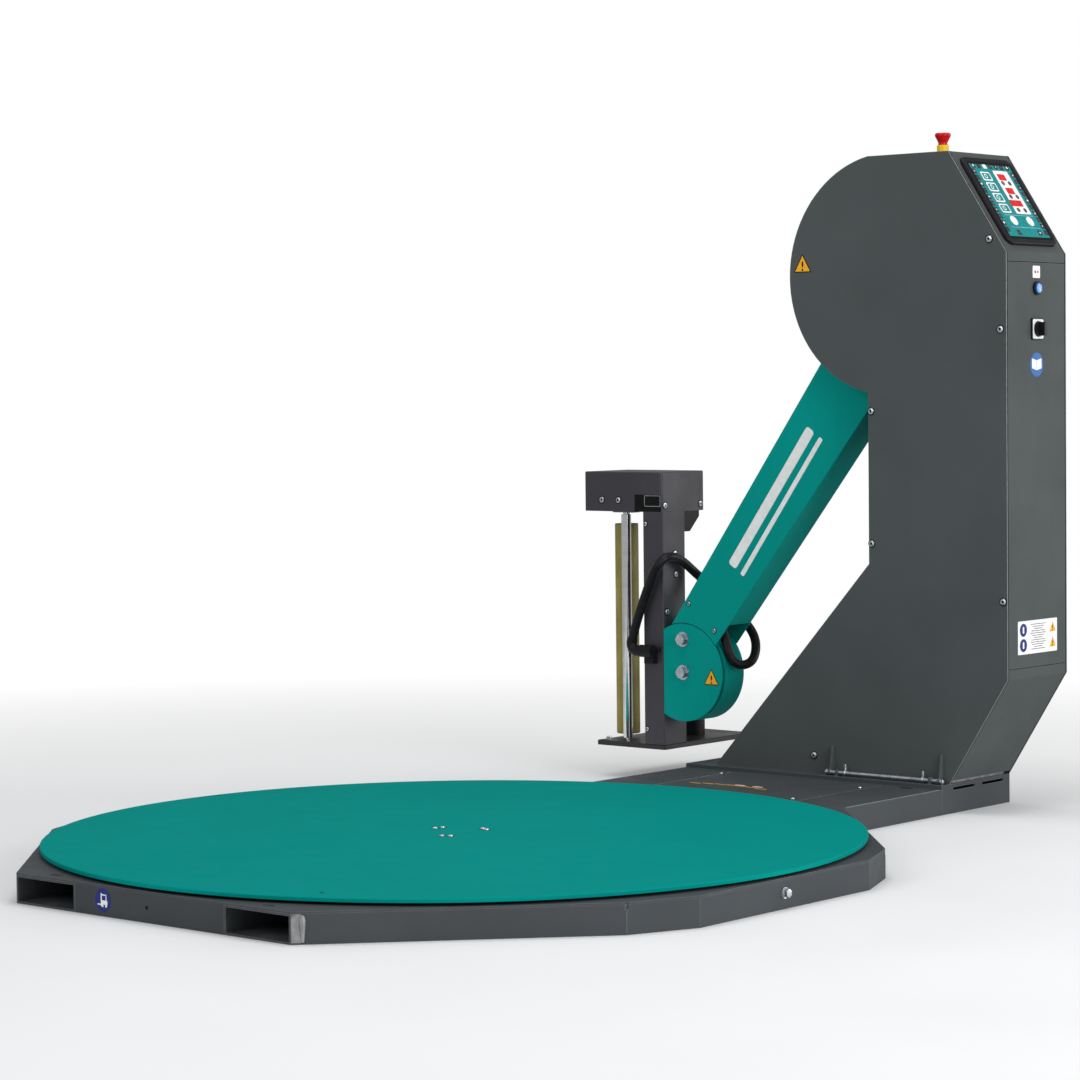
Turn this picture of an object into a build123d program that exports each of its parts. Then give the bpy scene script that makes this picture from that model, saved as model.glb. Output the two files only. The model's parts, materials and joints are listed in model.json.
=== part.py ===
from build123d import *
import math
import os

# Turntable pallet wrapper with a swinging film arm. Millimetres.
# The origin is on the floor under the turntable axis. +Z is up, +Y runs from
# the turntable to the column, and +X points to the column's console side.

# ---------------------------------------------------------------- driving sizes
# Turntable and its frame
DISC_RADIUS = 825.0
DISC_THICKNESS = 8.0
DISC_TOP = 72.0
FRAME_REACH = 826.0            # from the axis to the four straight main sides
FORK_FACE_HALF = 367.0         # half length of the fork side and of the column side
SIDE_FACE_HALF = 261.0         # half length of the left and right sides
CORNER_X = 769.0
CORNER_Y = 397.0
FRAME_HEIGHT = 58.0
FRAME_SHEET = 4.0
FRAME_OPENING_RADIUS = 700.0
FORK_TUBE_WIDTH = 167.0
FORK_TUBE_WALL = 4.0
BAR_THICKNESS = 10.0
BAR_WIDTH = 80.0

# Support wheels under the disc
WHEEL_COUNT = 6
WHEEL_TRACK_RADIUS = 640.0
WHEEL_RADIUS = 22.0
WHEEL_WIDTH = 18.0
AXLE_RADIUS = 6.0

# Turntable bearing and drive
POST_RADIUS = 30.0
HUB_RADIUS = 48.0
HUB_FLANGE_RADIUS = 88.0
HUB_SCREW_CIRCLE = 66.0
CHAIN_PITCH = 15.875
RING_TEETH = 60
DRIVE_TEETH = 16
CHAIN_PLANE = 38.0             # height of the turntable chain's middle
SPROCKET_THICKNESS = 8.0
CHAIN_BAND = 5.0
DRIVE_X = 60.0
DRIVE_Y = 1345.0
DRIVE_SHAFT_RADIUS = 12.0
DOG_RADIUS = 22.0
DOG_WIDTH = 8.0
DOG_HEIGHT = 5.0

# Extension between frame and column, and the column's base box
TRAY_HALF = 362.0
TRAY_SHEET = 3.0
TRAY_TOP = 57.0
LID_HALF = 200.0
BASE_FRONT = 1208.0
BASE_BACK = 1485.0
BASE_TOP = 66.0
BASE_SHEET = 4.0
VENT_LENGTH = 89.0
VENT_HEIGHT = 6.0

# Column
COLUMN_FRONT = 1239.0
COLUMN_BACK = 1486.0
COLUMN_SHEET = 3.0
LEG_TIP_X = -295.0
LEG_TOP_Z = 553.0
NECK_X = 147.0
HEAD_X = 202.0
HEAD_Z = 1207.0
HEAD_RADIUS = 271.5
TOP_BACK_X = 365.0
REAR_X = 514.0
CHAMFER_Z = 1246.0
REAR_LOW_Z = 307.0
FOOT_X = 361.0
DOOR_LOW_Z = 328.0
DOOR_HIGH_Z = 1226.0
DOOR_GAP = 1.5

# Hinge on which the column folds down over the turntable
HINGE_Y = 1224.0
HINGE_Z = 73.0
HINGE_ROD_RADIUS = 5.0
HINGE_X_LOW = 45.0
HINGE_X_HIGH = 343.0

# Arm parallelogram
PIVOT_X = 202.0
PIVOT_Z = 1167.0
KNEE_X = -441.0
KNEE_Z = 271.0
LINK_SPACING = 80.0            # height of the tie rod's pivots above the arm's
ARM_FRONT = 1300.0
ARM_DEPTH = 86.0
ARM_SHEET = 3.0
ARM_LEFT = 94.0                # from the pivot line to the outer edge
ARM_RIGHT_LOW = 34.0           # from the pivot line to the inner edge, at the knee
ARM_RIGHT_HIGH = 89.0          # the same, at the pivot
ARM_BAR_HALF = 25.0
ARM_BAR_THICKNESS = 8.0
SHAFT_RADIUS = 20.0
HUB_BOSS_RADIUS = 28.0
TIE_HALF = 13.0
TIE_EYE_RADIUS = 18.0
TIE_PIN_RADIUS = 10.0
LIFT_PITCH = 19.05
LIFT_RING_TEETH = 26
LIFT_DRIVE_TEETH = 10
LIFT_X = 285.0
LIFT_Z = 700.0
LIFT_CHAIN_Y = 1282.0

# Film carriage
MAST_WIDTH = 62.0
MAST_DEPTH = 87.0
MAST_WALL = 3.0
MAST_RIGHT_X = -500.0
CARRIAGE_BOTTOM = 79.0
BASE_PLATE_THICKNESS = 12.0
BASE_PLATE_LEFT = -713.0
BASE_PLATE_BACK = 1650.0
HEAD_BOTTOM = 656.0
HEAD_TOP = 753.0
HEAD_LEFT = -747.0
HEAD_RIGHT = -503.0
HEAD_BACK = 1469.0
HEAD_PLATE = 6.0
KNEE_RADIUS = 118.0
ROLLER_X = -678.0
ROLLER_Y = 1380.0
ROLLER_RADIUS = 29.0
ROLLER_CORE_RADIUS = 22.0
ROLLER_LOW_Z = 103.0
ROLLER_HIGH_Z = 623.0
IDLER_X = -635.0
IDLER_Y = 1326.0
IDLER_RADIUS = 12.0
STUB_RADIUS = 8.0
IDLER_STUB_RADIUS = 5.0
REEL_X = -606.0
REEL_Y = 1535.0
REEL_MANDREL_RADIUS = 37.0
REEL_MANDREL_TOP = 331.0

# Conduit from the arm to the carriage
CONDUIT_RADIUS = 11.0
CONDUIT_ROUTE = [
    (-346, 1334, 392), (-329, 1322, 342), (-308, 1332, 290), (-284, 1374, 296),
    (-300, 1410, 350), (-345, 1414, 398), (-418, 1414, 456), (-476, 1404, 500),
    (-484, 1352, 540), (-484, 1302, 552), (-498, 1278, 532), (-524, 1281, 492),
    (-549, 1283, 440), (-572, 1283, 384), (-583, 1283, 348),
]

# Gearmotors and electrics inside the column
GEARBOX_HALF = 58.0
GEARBOX_HEIGHT = 84.0
MOTOR_RADIUS = 46.0
MOTOR_LENGTH = 160.0
LIFT_BOX_HALF = 55.0
LIFT_MOTOR_LENGTH = 170.0
ELECTRIC_PLATE_Z = (480.0, 1060.0)
DRIVE_BOX_SIZE = (70.0, 110.0, 180.0)
DRIVE_BOX_Z = 820.0
SUPPLY_BOX_SIZE = (50.0, 150.0, 120.0)
SUPPLY_BOX_Z = 560.0

# Screws on the front panel, as (x, z)
PANEL_SCREWS = [(471, 1275), (499, 1077), (155, 899), (155, 599), (504, 479), (-10, 106)]
PANEL_SCREW_RADIUS = 6.0
PANEL_SCREW_HEIGHT = 3.0

# Console and controls
CONSOLE_WIDTH = 205.0
CONSOLE_LENGTH = 235.0
CONSOLE_DEPTH = 8.0
CONSOLE_RIM = 12.0
CONSOLE_RECESS = 2.0
STOP_X = 270.0
STOP_COLLAR_RADIUS = 13.5
STOP_COLLAR_HEIGHT = 24.0
STOP_STEM_RADIUS = 10.5
STOP_TRAVEL_ROOM = 6.0         # between the collar and the head's taper
STOP_HEAD_RADIUS = 18.0
STOP_TAPER_HEIGHT = 15.0
STOP_RIM_HEIGHT = 6.5
RESET_Z = 1168.0
RESET_RING_RADIUS = 15.0
RESET_RADIUS = 11.0
SWITCH_Z = 1078.0
SWITCH_PLATE = 48.0
KNOB_RADIUS = 16.0
KNOB_STEM_RADIUS = 5.0

# Clearances
RUN = 0.05                     # radial clearance of a shaft in its bore
GAP = 0.3                      # between faces of bodies that move past each other
SIDE_GAP = 0.5                 # between plates stacked on one pivot
KNEE_CLEARANCE = 1.0           # at the pivot where the closed linkage is opened

os.makedirs("parts", exist_ok=True)


# ---------------------------------------------------------------- helpers
def save(name, *pieces):
    solids = [s for piece in pieces for s in piece.solids()]
    shape = solids[0] if len(solids) == 1 else Compound(children=solids)
    export_step(shape, f"parts/{name}.step")


def block(x, y, z):
    """A box between two corners, each axis given as (low, high)."""
    size = Box(x[1] - x[0], y[1] - y[0], z[1] - z[0])
    return Pos((x[0] + x[1]) / 2, (y[0] + y[1]) / 2, (z[0] + z[1]) / 2) * size


def rod_x(y, z, radius, low, high):
    return Pos((low + high) / 2, y, z) * Rot(0, 90, 0) * Cylinder(radius, high - low)


def rod_y(x, z, radius, low, high):
    return Pos(x, (low + high) / 2, z) * Rot(90, 0, 0) * Cylinder(radius, high - low)


def rod_z(x, y, radius, low, high):
    return Pos(x, y, (low + high) / 2) * Cylinder(radius, high - low)


def upright(sketch, low, high):
    """A sketch drawn as (x, z), raised into a plate between two Y values."""
    return Pos(0, high, 0) * Rot(90, 0, 0) * extrude(sketch, high - low)


def upward(sketch, low, high):
    """A sketch drawn as (x, y), raised into a plate between two heights."""
    return Pos(0, 0, low) * extrude(sketch, high - low)


def outline(points):
    return make_face(Polyline(*points, close=True))


def hex_bolt(head_face, shank_end, radius):
    """A bolt along Y with its head's seat at head_face, head towards -Y."""
    washer = rod_y(0, 0, 1.8 * radius, head_face - 0.2 * radius, head_face)
    head = Pos(0, head_face - 0.2 * radius, 0) * Rot(90, 0, 0) * extrude(
        RegularPolygon(1.2 * radius, 6, major_radius=False), 1.1 * radius
    )
    return washer + head + rod_y(0, 0, radius, head_face, shank_end)


def pitch_radius(pitch, teeth):
    return pitch / (2 * math.sin(math.pi / teeth))


def sprocket_face(pitch, teeth, bore):
    """A sprocket's outline with a round seat for each chain roller."""
    radius = pitch_radius(pitch, teeth)
    seats = [
        Rot(0, 0, 360 * k / teeth) * Pos(radius + 0.12 * pitch, 0) * Circle(0.32 * pitch)
        for k in range(teeth)
    ]
    return Circle(radius + 0.25 * pitch) - seats - Circle(bore)


def chain_face(first, first_radius, second, second_radius, band):
    """The closed loop of a chain round two sprockets, as a flat band."""
    def hull(extra):
        a = Pos(*first) * Circle(first_radius + extra)
        b = Pos(*second) * Circle(second_radius + extra)
        return make_hull(a.edges() + b.edges())
    return hull(band) - hull(0)


# ---------------------------------------------------------------- table frame
def frame_corners():
    """The twelve corners of the frame's outline, anticlockwise from the fork side."""
    quarter = [
        (FORK_FACE_HALF, -FRAME_REACH),
        (CORNER_X, -CORNER_Y),
        (FRAME_REACH, -SIDE_FACE_HALF),
    ]
    right = quarter + [(x, -y) for x, y in reversed(quarter)]
    left = [(-x, y) for x, y in reversed(right)]
    return right + left


# Each fork pocket is welded from four flats.
fork_inner_x = FORK_FACE_HALF - FORK_TUBE_WIDTH
tube_top = FRAME_HEIGHT - FRAME_SHEET
tube_back = FRAME_REACH - 6 * FRAME_SHEET
tube_wall_low = fork_inner_x + FORK_TUBE_WALL
tube_wall_high = FORK_FACE_HALF - FORK_TUBE_WALL
hole_y = -FRAME_REACH + 28

fork_walls = []
for side in (-1, 1):
    across = sorted((side * fork_inner_x, side * FORK_FACE_HALF))
    inside = sorted((side * tube_wall_low, side * tube_wall_high))
    run = (-FRAME_REACH, tube_back)
    fork_walls.append(block((across[0], inside[0]), run, (0, tube_top)))
    fork_walls.append(block((inside[1], across[1]), run, (0, tube_top)))
    fork_walls.append(block(inside, run, (0, FORK_TUBE_WALL)))
    roof = block(inside, run, (tube_top - FORK_TUBE_WALL, tube_top))
    hand_slot = extrude(SlotOverall(34, 16), 3 * FORK_TUBE_WALL, both=True)
    fork_walls.append(roof - Pos(sum(across) / 2, hole_y, tube_top) * hand_slot)
save("fork_tubes", *fork_walls)

# The frame is a top sheet with a side plate welded under each edge.
outer = frame_corners()
inside_face = offset(outline(outer), -FRAME_SHEET, kind=Kind.INTERSECTION)
inner = [tuple(vertex)[:2] for vertex in inside_face.vertices()]
inner = [min(inner, key=lambda place: math.dist(place, corner)) for corner in outer]
top_sheet = upward(outline(outer), tube_top, FRAME_HEIGHT)
sheets = [top_sheet - rod_z(0, 0, FRAME_OPENING_RADIUS, 0, FRAME_HEIGHT + 1)]
for k, corner in enumerate(outer):
    edge = [outer[k - 1], corner, inner[k], inner[k - 1]]
    sheets.append(upward(outline(edge), 0, tube_top))
cutters = []
for side in (-1, 1):
    across = sorted((side * fork_inner_x, side * FORK_FACE_HALF))
    middle = sum(across) / 2
    cutters.append(block(across, (-FRAME_REACH - 1, tube_back), (-1, tube_top)))
    cutters.append(Pos(middle, hole_y, tube_top) * extrude(SlotOverall(34, 16), 3 * FRAME_SHEET, both=True))
# The column side is open for the chain, and each corner has a relief notch.
tray_inner = TRAY_HALF - TRAY_SHEET
column_edge = (FRAME_REACH - 2 * FRAME_SHEET, FRAME_REACH + 1)
cutters.append(block((-FORK_FACE_HALF, FORK_FACE_HALF), column_edge, (-1, tube_top)))
for x in (-CORNER_X, CORNER_X):
    for y in (-CORNER_Y, CORNER_Y):
        cutters.append(rod_z(x, y, FRAME_SHEET, tube_top - 2 * FRAME_SHEET, FRAME_HEIGHT + 1))
save("table_frame", *[solid for sheet in sheets for solid in (sheet - cutters).solids()])

bars = [block((-fork_inner_x, fork_inner_x), (-fork_inner_x, fork_inner_x), (0, BAR_THICKNESS))]
for run in ((-FRAME_REACH + FRAME_SHEET, -fork_inner_x), (fork_inner_x, FRAME_REACH)):
    bars.append(block((-BAR_WIDTH / 2, BAR_WIDTH / 2), run, (0, BAR_THICKNESS)))
side_wheel_y = WHEEL_TRACK_RADIUS * math.sin(math.radians(180 / WHEEL_COUNT))
pan_inside = upward(outline(inner), 0, BAR_THICKNESS)
for side_x in (-1, 1):
    for side_y in (-1, 1):
        run = sorted((side_x * FORK_FACE_HALF, side_x * FRAME_REACH))
        middle = side_y * side_wheel_y
        bar = block(run, (middle - BAR_WIDTH / 2, middle + BAR_WIDTH / 2), (0, BAR_THICKNESS))
        bars.append(bar & pan_inside)
disc_bottom = DISC_TOP - DISC_THICKNESS
post_foot = BAR_THICKNESS + 6
bars.append(rod_z(0, 0, 2.2 * POST_RADIUS, BAR_THICKNESS, post_foot))
bars.append(rod_z(0, 0, POST_RADIUS, post_foot, disc_bottom - 2))
save("frame_bars", *bars)

# Each wheel rolls on the disc's underside, on a pin between two ears.
wheel_z = disc_bottom - GAP - WHEEL_RADIUS
ear_thickness = 5.0
ear_middle = WHEEL_WIDTH / 2 + SIDE_GAP + ear_thickness / 2
pin_half = ear_middle + ear_thickness
ear_top = wheel_z + 1.7 * AXLE_RADIUS
wheel_angles = [180 / WHEEL_COUNT + 360 * k / WHEEL_COUNT for k in range(WHEEL_COUNT)]
ears = []
pins = []
for number, angle in enumerate(wheel_angles, 1):
    turn = Rot(0, 0, angle)
    for side in (-1, 1):
        middle = WHEEL_TRACK_RADIUS + side * ear_middle
        ear = block(
            (middle - ear_thickness / 2, middle + ear_thickness / 2),
            (-2.5 * AXLE_RADIUS, 2.5 * AXLE_RADIUS),
            (BAR_THICKNESS, ear_top),
        )
        ears.append(turn * (ear - rod_x(0, wheel_z, AXLE_RADIUS, middle - 9, middle + 9)))
    ends = (WHEEL_TRACK_RADIUS - pin_half, WHEEL_TRACK_RADIUS + pin_half)
    pins.append(turn * rod_x(0, wheel_z, AXLE_RADIUS, *ends))
    ends = (WHEEL_TRACK_RADIUS - WHEEL_WIDTH / 2, WHEEL_TRACK_RADIUS + WHEEL_WIDTH / 2)
    wheel = rod_x(0, wheel_z, WHEEL_RADIUS, *ends)
    wheel = chamfer(wheel.edges().filter_by(GeomType.CIRCLE), 1.5)
    wheel -= rod_x(0, wheel_z, AXLE_RADIUS + RUN, *ends)
    save(f"support_wheel_{number}", turn * wheel)
save("wheel_ears", *ears)
save("wheel_pins", *pins)

# ---------------------------------------------------------------- turntable
disc = rod_z(0, 0, DISC_RADIUS, disc_bottom, DISC_TOP)
disc = fillet(disc.edges().group_by(Axis.Z)[-1], 2.0)
save("turntable_disc", disc)

flange_bottom = disc_bottom - 6
sprocket_low = CHAIN_PLANE - SPROCKET_THICKNESS / 2
hub = rod_z(0, 0, HUB_FLANGE_RADIUS, flange_bottom, disc_bottom)
hub += rod_z(0, 0, HUB_RADIUS, post_foot + SIDE_GAP, flange_bottom)
ring = extrude(sprocket_face(CHAIN_PITCH, RING_TEETH, HUB_RADIUS), SPROCKET_THICKNESS)
for k in range(6):
    ring -= Rot(0, 0, 60 * k) * rod_z(2 * HUB_RADIUS, 0, 26, 0, SPROCKET_THICKNESS)
hub += Pos(0, 0, sprocket_low) * ring
hub -= rod_z(0, 0, POST_RADIUS + RUN, 0, disc_bottom - 1)
save("table_hub", hub)

# ---------------------------------------------------------------- extension and base box
tray = block((-TRAY_HALF, TRAY_HALF), (FRAME_REACH, BASE_FRONT), (0, TRAY_TOP))
tray -= block((-tray_inner, tray_inner), (0, BASE_BACK), (TRAY_SHEET, TRAY_TOP - TRAY_SHEET))
tray -= block((-LID_HALF, LID_HALF), (0, BASE_BACK), (TRAY_TOP - TRAY_SHEET, TRAY_TOP + 1))
save("extension_tray", tray)

lid_half = LID_HALF - SIDE_GAP
lid = block((-lid_half, lid_half), (FRAME_REACH, BASE_FRONT), (TRAY_TOP - TRAY_SHEET, TRAY_TOP))
ledge = 18.0
for side in (-1, 1):
    run = sorted((side * (LID_HALF - ledge), side * (LID_HALF + ledge)))
    strip = block(run, (FRAME_REACH + 4, BASE_FRONT - 4), (TRAY_TOP - 2 * TRAY_SHEET, TRAY_TOP - TRAY_SHEET))
    lid += strip
save("extension_lid", lid)

box_low = block((-TRAY_HALF, TRAY_HALF), (BASE_FRONT, BASE_BACK), (0, BASE_TOP))
box_low -= block(
    (-TRAY_HALF + BASE_SHEET, TRAY_HALF - BASE_SHEET),
    (BASE_FRONT + BASE_SHEET, BASE_BACK - BASE_SHEET),
    (BASE_SHEET, BASE_TOP - BASE_SHEET),
)
front_wall = (BASE_FRONT - 1, BASE_FRONT + BASE_SHEET + 1)
box_low -= block((-LID_HALF, LID_HALF), front_wall, (BASE_SHEET, TRAY_TOP - 2 * TRAY_SHEET))
coupling_opening = DOG_RADIUS + 12
box_low -= rod_z(DRIVE_X, DRIVE_Y, coupling_opening, BASE_TOP - 2 * BASE_SHEET, BASE_TOP + 1)
vent_z = BASE_TOP - 3 * VENT_HEIGHT / 2 - 2
for start in (BASE_FRONT + 44, BASE_BACK - 26 - VENT_LENGTH):
    for side in (-1, 1):
        slot = Rot(0, 0, 90) * Rot(90, 0, 0) * extrude(SlotOverall(VENT_LENGTH, VENT_HEIGHT), 8, both=True)
        box_low -= Pos(side * TRAY_HALF, start + VENT_LENGTH / 2, vent_z) * slot
bearing_top = sprocket_low - 3
box_low += rod_z(DRIVE_X, DRIVE_Y, 34, BASE_SHEET, bearing_top)
box_low -= rod_z(DRIVE_X, DRIVE_Y, DRIVE_SHAFT_RADIUS + RUN, BASE_SHEET, bearing_top + 1)
lug_places = (HINGE_X_LOW + 22, HINGE_X_HIGH - 22)
for x in lug_places:
    box_low += block((x - 3, x + 3), (HINGE_Y - 8, HINGE_Y + 8), (BASE_TOP, HINGE_Z))
    upper_half = block((x - 3, x + 3), (0, BASE_BACK), (HINGE_Z, BASE_BACK))
    box_low += rod_x(HINGE_Y, HINGE_Z, 8, x - 3, x + 3) & upper_half
    box_low -= rod_x(HINGE_Y, HINGE_Z, HINGE_ROD_RADIUS, x - 4, x + 4)
save("column_base", box_low)

# The drive sprocket's shaft ends in a slotted half; the gearmotor's tongue drops into it.
dog_low = BASE_TOP - 12
slotted = rod_z(DRIVE_X, DRIVE_Y, DRIVE_SHAFT_RADIUS, BASE_SHEET + 1, sprocket_low)
slotted += rod_z(DRIVE_X, DRIVE_Y, DOG_RADIUS, sprocket_low + SPROCKET_THICKNESS, dog_low)
drive_teeth = extrude(sprocket_face(CHAIN_PITCH, DRIVE_TEETH, 0.1), SPROCKET_THICKNESS)
slotted += Pos(DRIVE_X, DRIVE_Y, sprocket_low) * drive_teeth
slotted += rod_z(DRIVE_X, DRIVE_Y, DRIVE_SHAFT_RADIUS, sprocket_low, sprocket_low + SPROCKET_THICKNESS)
slot_half = DOG_WIDTH / 2 + GAP
slotted -= block(
    (DRIVE_X - slot_half, DRIVE_X + slot_half),
    (DRIVE_Y - DOG_RADIUS - 1, DRIVE_Y + DOG_RADIUS + 1),
    (dog_low - DOG_HEIGHT - GAP, dog_low + 1),
)
save("drive_sprocket", slotted)

gearbox_low = BASE_TOP + 30
tongue = rod_z(DRIVE_X, DRIVE_Y, DOG_RADIUS, dog_low + GAP, dog_low + 14)
tongue += rod_z(DRIVE_X, DRIVE_Y, DRIVE_SHAFT_RADIUS, dog_low + GAP, gearbox_low + 30)
tongue += block(
    (DRIVE_X - DOG_WIDTH / 2, DRIVE_X + DOG_WIDTH / 2),
    (DRIVE_Y - DOG_RADIUS + 4, DRIVE_Y + DOG_RADIUS - 4),
    (dog_low - DOG_HEIGHT, dog_low + GAP + 1),
)
save("drive_coupling", tongue)

ring_loop = pitch_radius(CHAIN_PITCH, RING_TEETH) + 0.25 * CHAIN_PITCH + GAP
drive_loop = pitch_radius(CHAIN_PITCH, DRIVE_TEETH) + 0.25 * CHAIN_PITCH + GAP
loop = chain_face((0, 0), ring_loop, (DRIVE_X, DRIVE_Y), drive_loop, CHAIN_BAND)
save("table_chain", Pos(0, 0, sprocket_low) * extrude(loop, SPROCKET_THICKNESS))

# ---------------------------------------------------------------- column
base_z = BASE_TOP
head_drop = math.sqrt(HEAD_RADIUS**2 - (HEAD_X - NECK_X) ** 2)
neck_z = HEAD_Z - head_drop
top_z = HEAD_Z + head_drop
leg = [(LEG_TIP_X, base_z), (NECK_X, LEG_TOP_Z), (NECK_X, neck_z)]
rear = [(NECK_X, top_z), (TOP_BACK_X, top_z), (REAR_X, CHAMFER_Z), (REAR_X, REAR_LOW_Z), (FOOT_X, base_z)]
side_line = Polyline(*rear, *leg)
head_arc = ThreePointArc(leg[-1], (HEAD_X - HEAD_RADIUS, HEAD_Z), rear[0])
cheek = make_face([side_line, head_arc])

inner_front = COLUMN_FRONT + COLUMN_SHEET
inner_back = COLUMN_BACK - COLUMN_SHEET
panel = upright(cheek, COLUMN_FRONT, inner_front)
save("front_panel", panel)
save("back_panel", upright(cheek, inner_back, COLUMN_BACK))

core = outline(leg + rear)
wall = core - offset(core, -COLUMN_SHEET, kind=Kind.INTERSECTION)
skin = upright(wall, inner_front, inner_back)
skin -= block(
    (NECK_X - 1, NECK_X + COLUMN_SHEET + 0.1), (inner_front - 1, inner_back + 1), (neck_z, top_z - COLUMN_SHEET)
)
floor_top = base_z + 8
skin -= block((LEG_TIP_X - 1, FOOT_X + 60), (inner_front - 1, inner_back + 1), (base_z - 1, floor_top))
door_depth = (REAR_X - 2 * COLUMN_SHEET, REAR_X + 1)
skin -= block(door_depth, (inner_front - 1, inner_back + 1), (DOOR_LOW_Z, DOOR_HIGH_Z))
save("column_skin", skin)

door = block(
    (REAR_X - COLUMN_SHEET, REAR_X),
    (inner_front + DOOR_GAP, inner_back - DOOR_GAP),
    (DOOR_LOW_Z + DOOR_GAP, DOOR_HIGH_Z - DOOR_GAP),
)

plate_front = (inner_front + 8, inner_front + 18)
plate_back = (ARM_FRONT + ARM_DEPTH + 18, ARM_FRONT + ARM_DEPTH + 28)
tie_y = (ARM_FRONT + ARM_DEPTH + 2, ARM_FRONT + ARM_DEPTH + 2 + ARM_BAR_THICKNESS)
frame_half = 60.0
frame_top = PIVOT_Z + LINK_SPACING + frame_half
frame_left = NECK_X + COLUMN_SHEET + 6
frame_right = LIFT_X + 75
inner_frame = block((LEG_TIP_X + 20, FOOT_X - 6), (inner_front, inner_back), (base_z, floor_top))
for low, high in (plate_front, plate_back):
    inner_frame += block((frame_left, frame_right), (low, high), (floor_top, frame_top))
for z in (180, 420, 900):
    inner_frame += block((frame_right - 35, frame_right - 12), (plate_front[1], plate_back[0]), (z, z + 20))
for low, high in (plate_front, plate_back):
    inner_frame -= rod_y(PIVOT_X, PIVOT_Z, SHAFT_RADIUS + RUN, low - 1, high + 1)
inner_frame -= rod_y(PIVOT_X, PIVOT_Z + LINK_SPACING, TIE_PIN_RADIUS, plate_back[0] - 1, plate_back[1] + 1)
inner_frame -= rod_z(DRIVE_X, DRIVE_Y, coupling_opening, base_z - 1, floor_top + 1)
save("inner_frame", inner_frame)

anchor = rod_y(PIVOT_X, PIVOT_Z + LINK_SPACING, TIE_PIN_RADIUS, tie_y[0], plate_back[1])
anchor += rod_y(PIVOT_X, PIVOT_Z + LINK_SPACING, 1.5 * TIE_PIN_RADIUS, tie_y[1] + SIDE_GAP, plate_back[0])
save("tie_anchor", anchor)

# Turntable gearmotor, upright in the leg: gearbox below, motor above.
motor_low = gearbox_low + GEARBOX_HEIGHT
gearbox = block(
    (DRIVE_X - GEARBOX_HALF, DRIVE_X + GEARBOX_HALF),
    (DRIVE_Y - GEARBOX_HALF, DRIVE_Y + GEARBOX_HALF),
    (gearbox_low, motor_low),
)
gearbox = fillet(gearbox.edges().filter_by(Axis.Z), 12)
for side in (-1, 1):
    gearbox += block(
        (DRIVE_X - GEARBOX_HALF + 8, DRIVE_X + GEARBOX_HALF - 8),
        sorted((DRIVE_Y + side * (coupling_opening + 2), DRIVE_Y + side * (GEARBOX_HALF - 4))),
        (floor_top, gearbox_low),
    )
gearbox -= rod_z(DRIVE_X, DRIVE_Y, DRIVE_SHAFT_RADIUS + RUN, gearbox_low - 1, gearbox_low + 31)
gearbox += rod_z(DRIVE_X, DRIVE_Y, MOTOR_RADIUS + 6, motor_low, motor_low + 10)
gearbox += rod_z(DRIVE_X, DRIVE_Y, MOTOR_RADIUS, motor_low, motor_low + MOTOR_LENGTH)
save("table_gearmotor", gearbox)

# Lift gearmotor: gearbox between the inner plates, motor hanging below.
lift_face = LIFT_CHAIN_Y + 20
lift_low = LIFT_Z - LIFT_BOX_HALF
lift_box = block(
    (LIFT_X - LIFT_BOX_HALF, LIFT_X + LIFT_BOX_HALF),
    (lift_face, plate_back[0]),
    (lift_low, LIFT_Z + LIFT_BOX_HALF),
)
lift_box = fillet(lift_box.edges().filter_by(Axis.Y), 10)
lift_box += rod_z(LIFT_X, (lift_face + plate_back[0]) / 2, MOTOR_RADIUS, lift_low - LIFT_MOTOR_LENGTH, lift_low)
lift_box -= rod_y(LIFT_X, LIFT_Z, DRIVE_SHAFT_RADIUS + RUN, lift_face - 1, lift_face + 40)
save("lift_gearmotor", lift_box)

sprocket_back = LIFT_CHAIN_Y + SPROCKET_THICKNESS / 2
sprocket_front = LIFT_CHAIN_Y - SPROCKET_THICKNESS / 2
lift_teeth = sprocket_face(LIFT_PITCH, LIFT_DRIVE_TEETH, 0.1)
small = Pos(LIFT_X, 0, LIFT_Z) * upright(lift_teeth, sprocket_front, sprocket_back)
small += rod_y(LIFT_X, LIFT_Z, DRIVE_SHAFT_RADIUS, sprocket_front - 6, LIFT_CHAIN_Y + 55)
save("lift_sprocket", small)

big_loop = pitch_radius(LIFT_PITCH, LIFT_RING_TEETH) + 0.25 * LIFT_PITCH + GAP
small_loop = pitch_radius(LIFT_PITCH, LIFT_DRIVE_TEETH) + 0.25 * LIFT_PITCH + GAP
loop = chain_face((PIVOT_X, PIVOT_Z), big_loop, (LIFT_X, LIFT_Z), small_loop, CHAIN_BAND)
save("lift_chain", upright(loop, sprocket_front, sprocket_back))

# Electrical plate with a drive and a power supply, beside the service door.
plate_x = REAR_X - 60
box_y = inner_front + 40
electrics = [block((plate_x, plate_x + 4), (inner_front + 20, inner_back - 20), ELECTRIC_PLATE_Z)]
for (depth, width, height), low in ((DRIVE_BOX_SIZE, DRIVE_BOX_Z), (SUPPLY_BOX_SIZE, SUPPLY_BOX_Z)):
    electrics.append(block((plate_x - depth, plate_x), (box_y, box_y + width), (low, low + height)))
for z in (ELECTRIC_PLATE_Z[0] + 40, ELECTRIC_PLATE_Z[1] - 40):
    reach = (plate_x + 4, REAR_X - COLUMN_SHEET - 2)
    electrics.append(block(reach, (inner_back - 30, inner_back - 20), (z - 10, z + 10)))
save("electrical_plate", *electrics)

# Zinc button-head screws on the front panel.
screws = []
for x, z in PANEL_SCREWS:
    screw = rod_y(x, z, PANEL_SCREW_RADIUS, COLUMN_FRONT - PANEL_SCREW_HEIGHT, COLUMN_FRONT)
    screws.append(fillet(screw.edges().group_by(Axis.Y)[0], PANEL_SCREW_HEIGHT / 2))
save("panel_screws", *screws)

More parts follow.
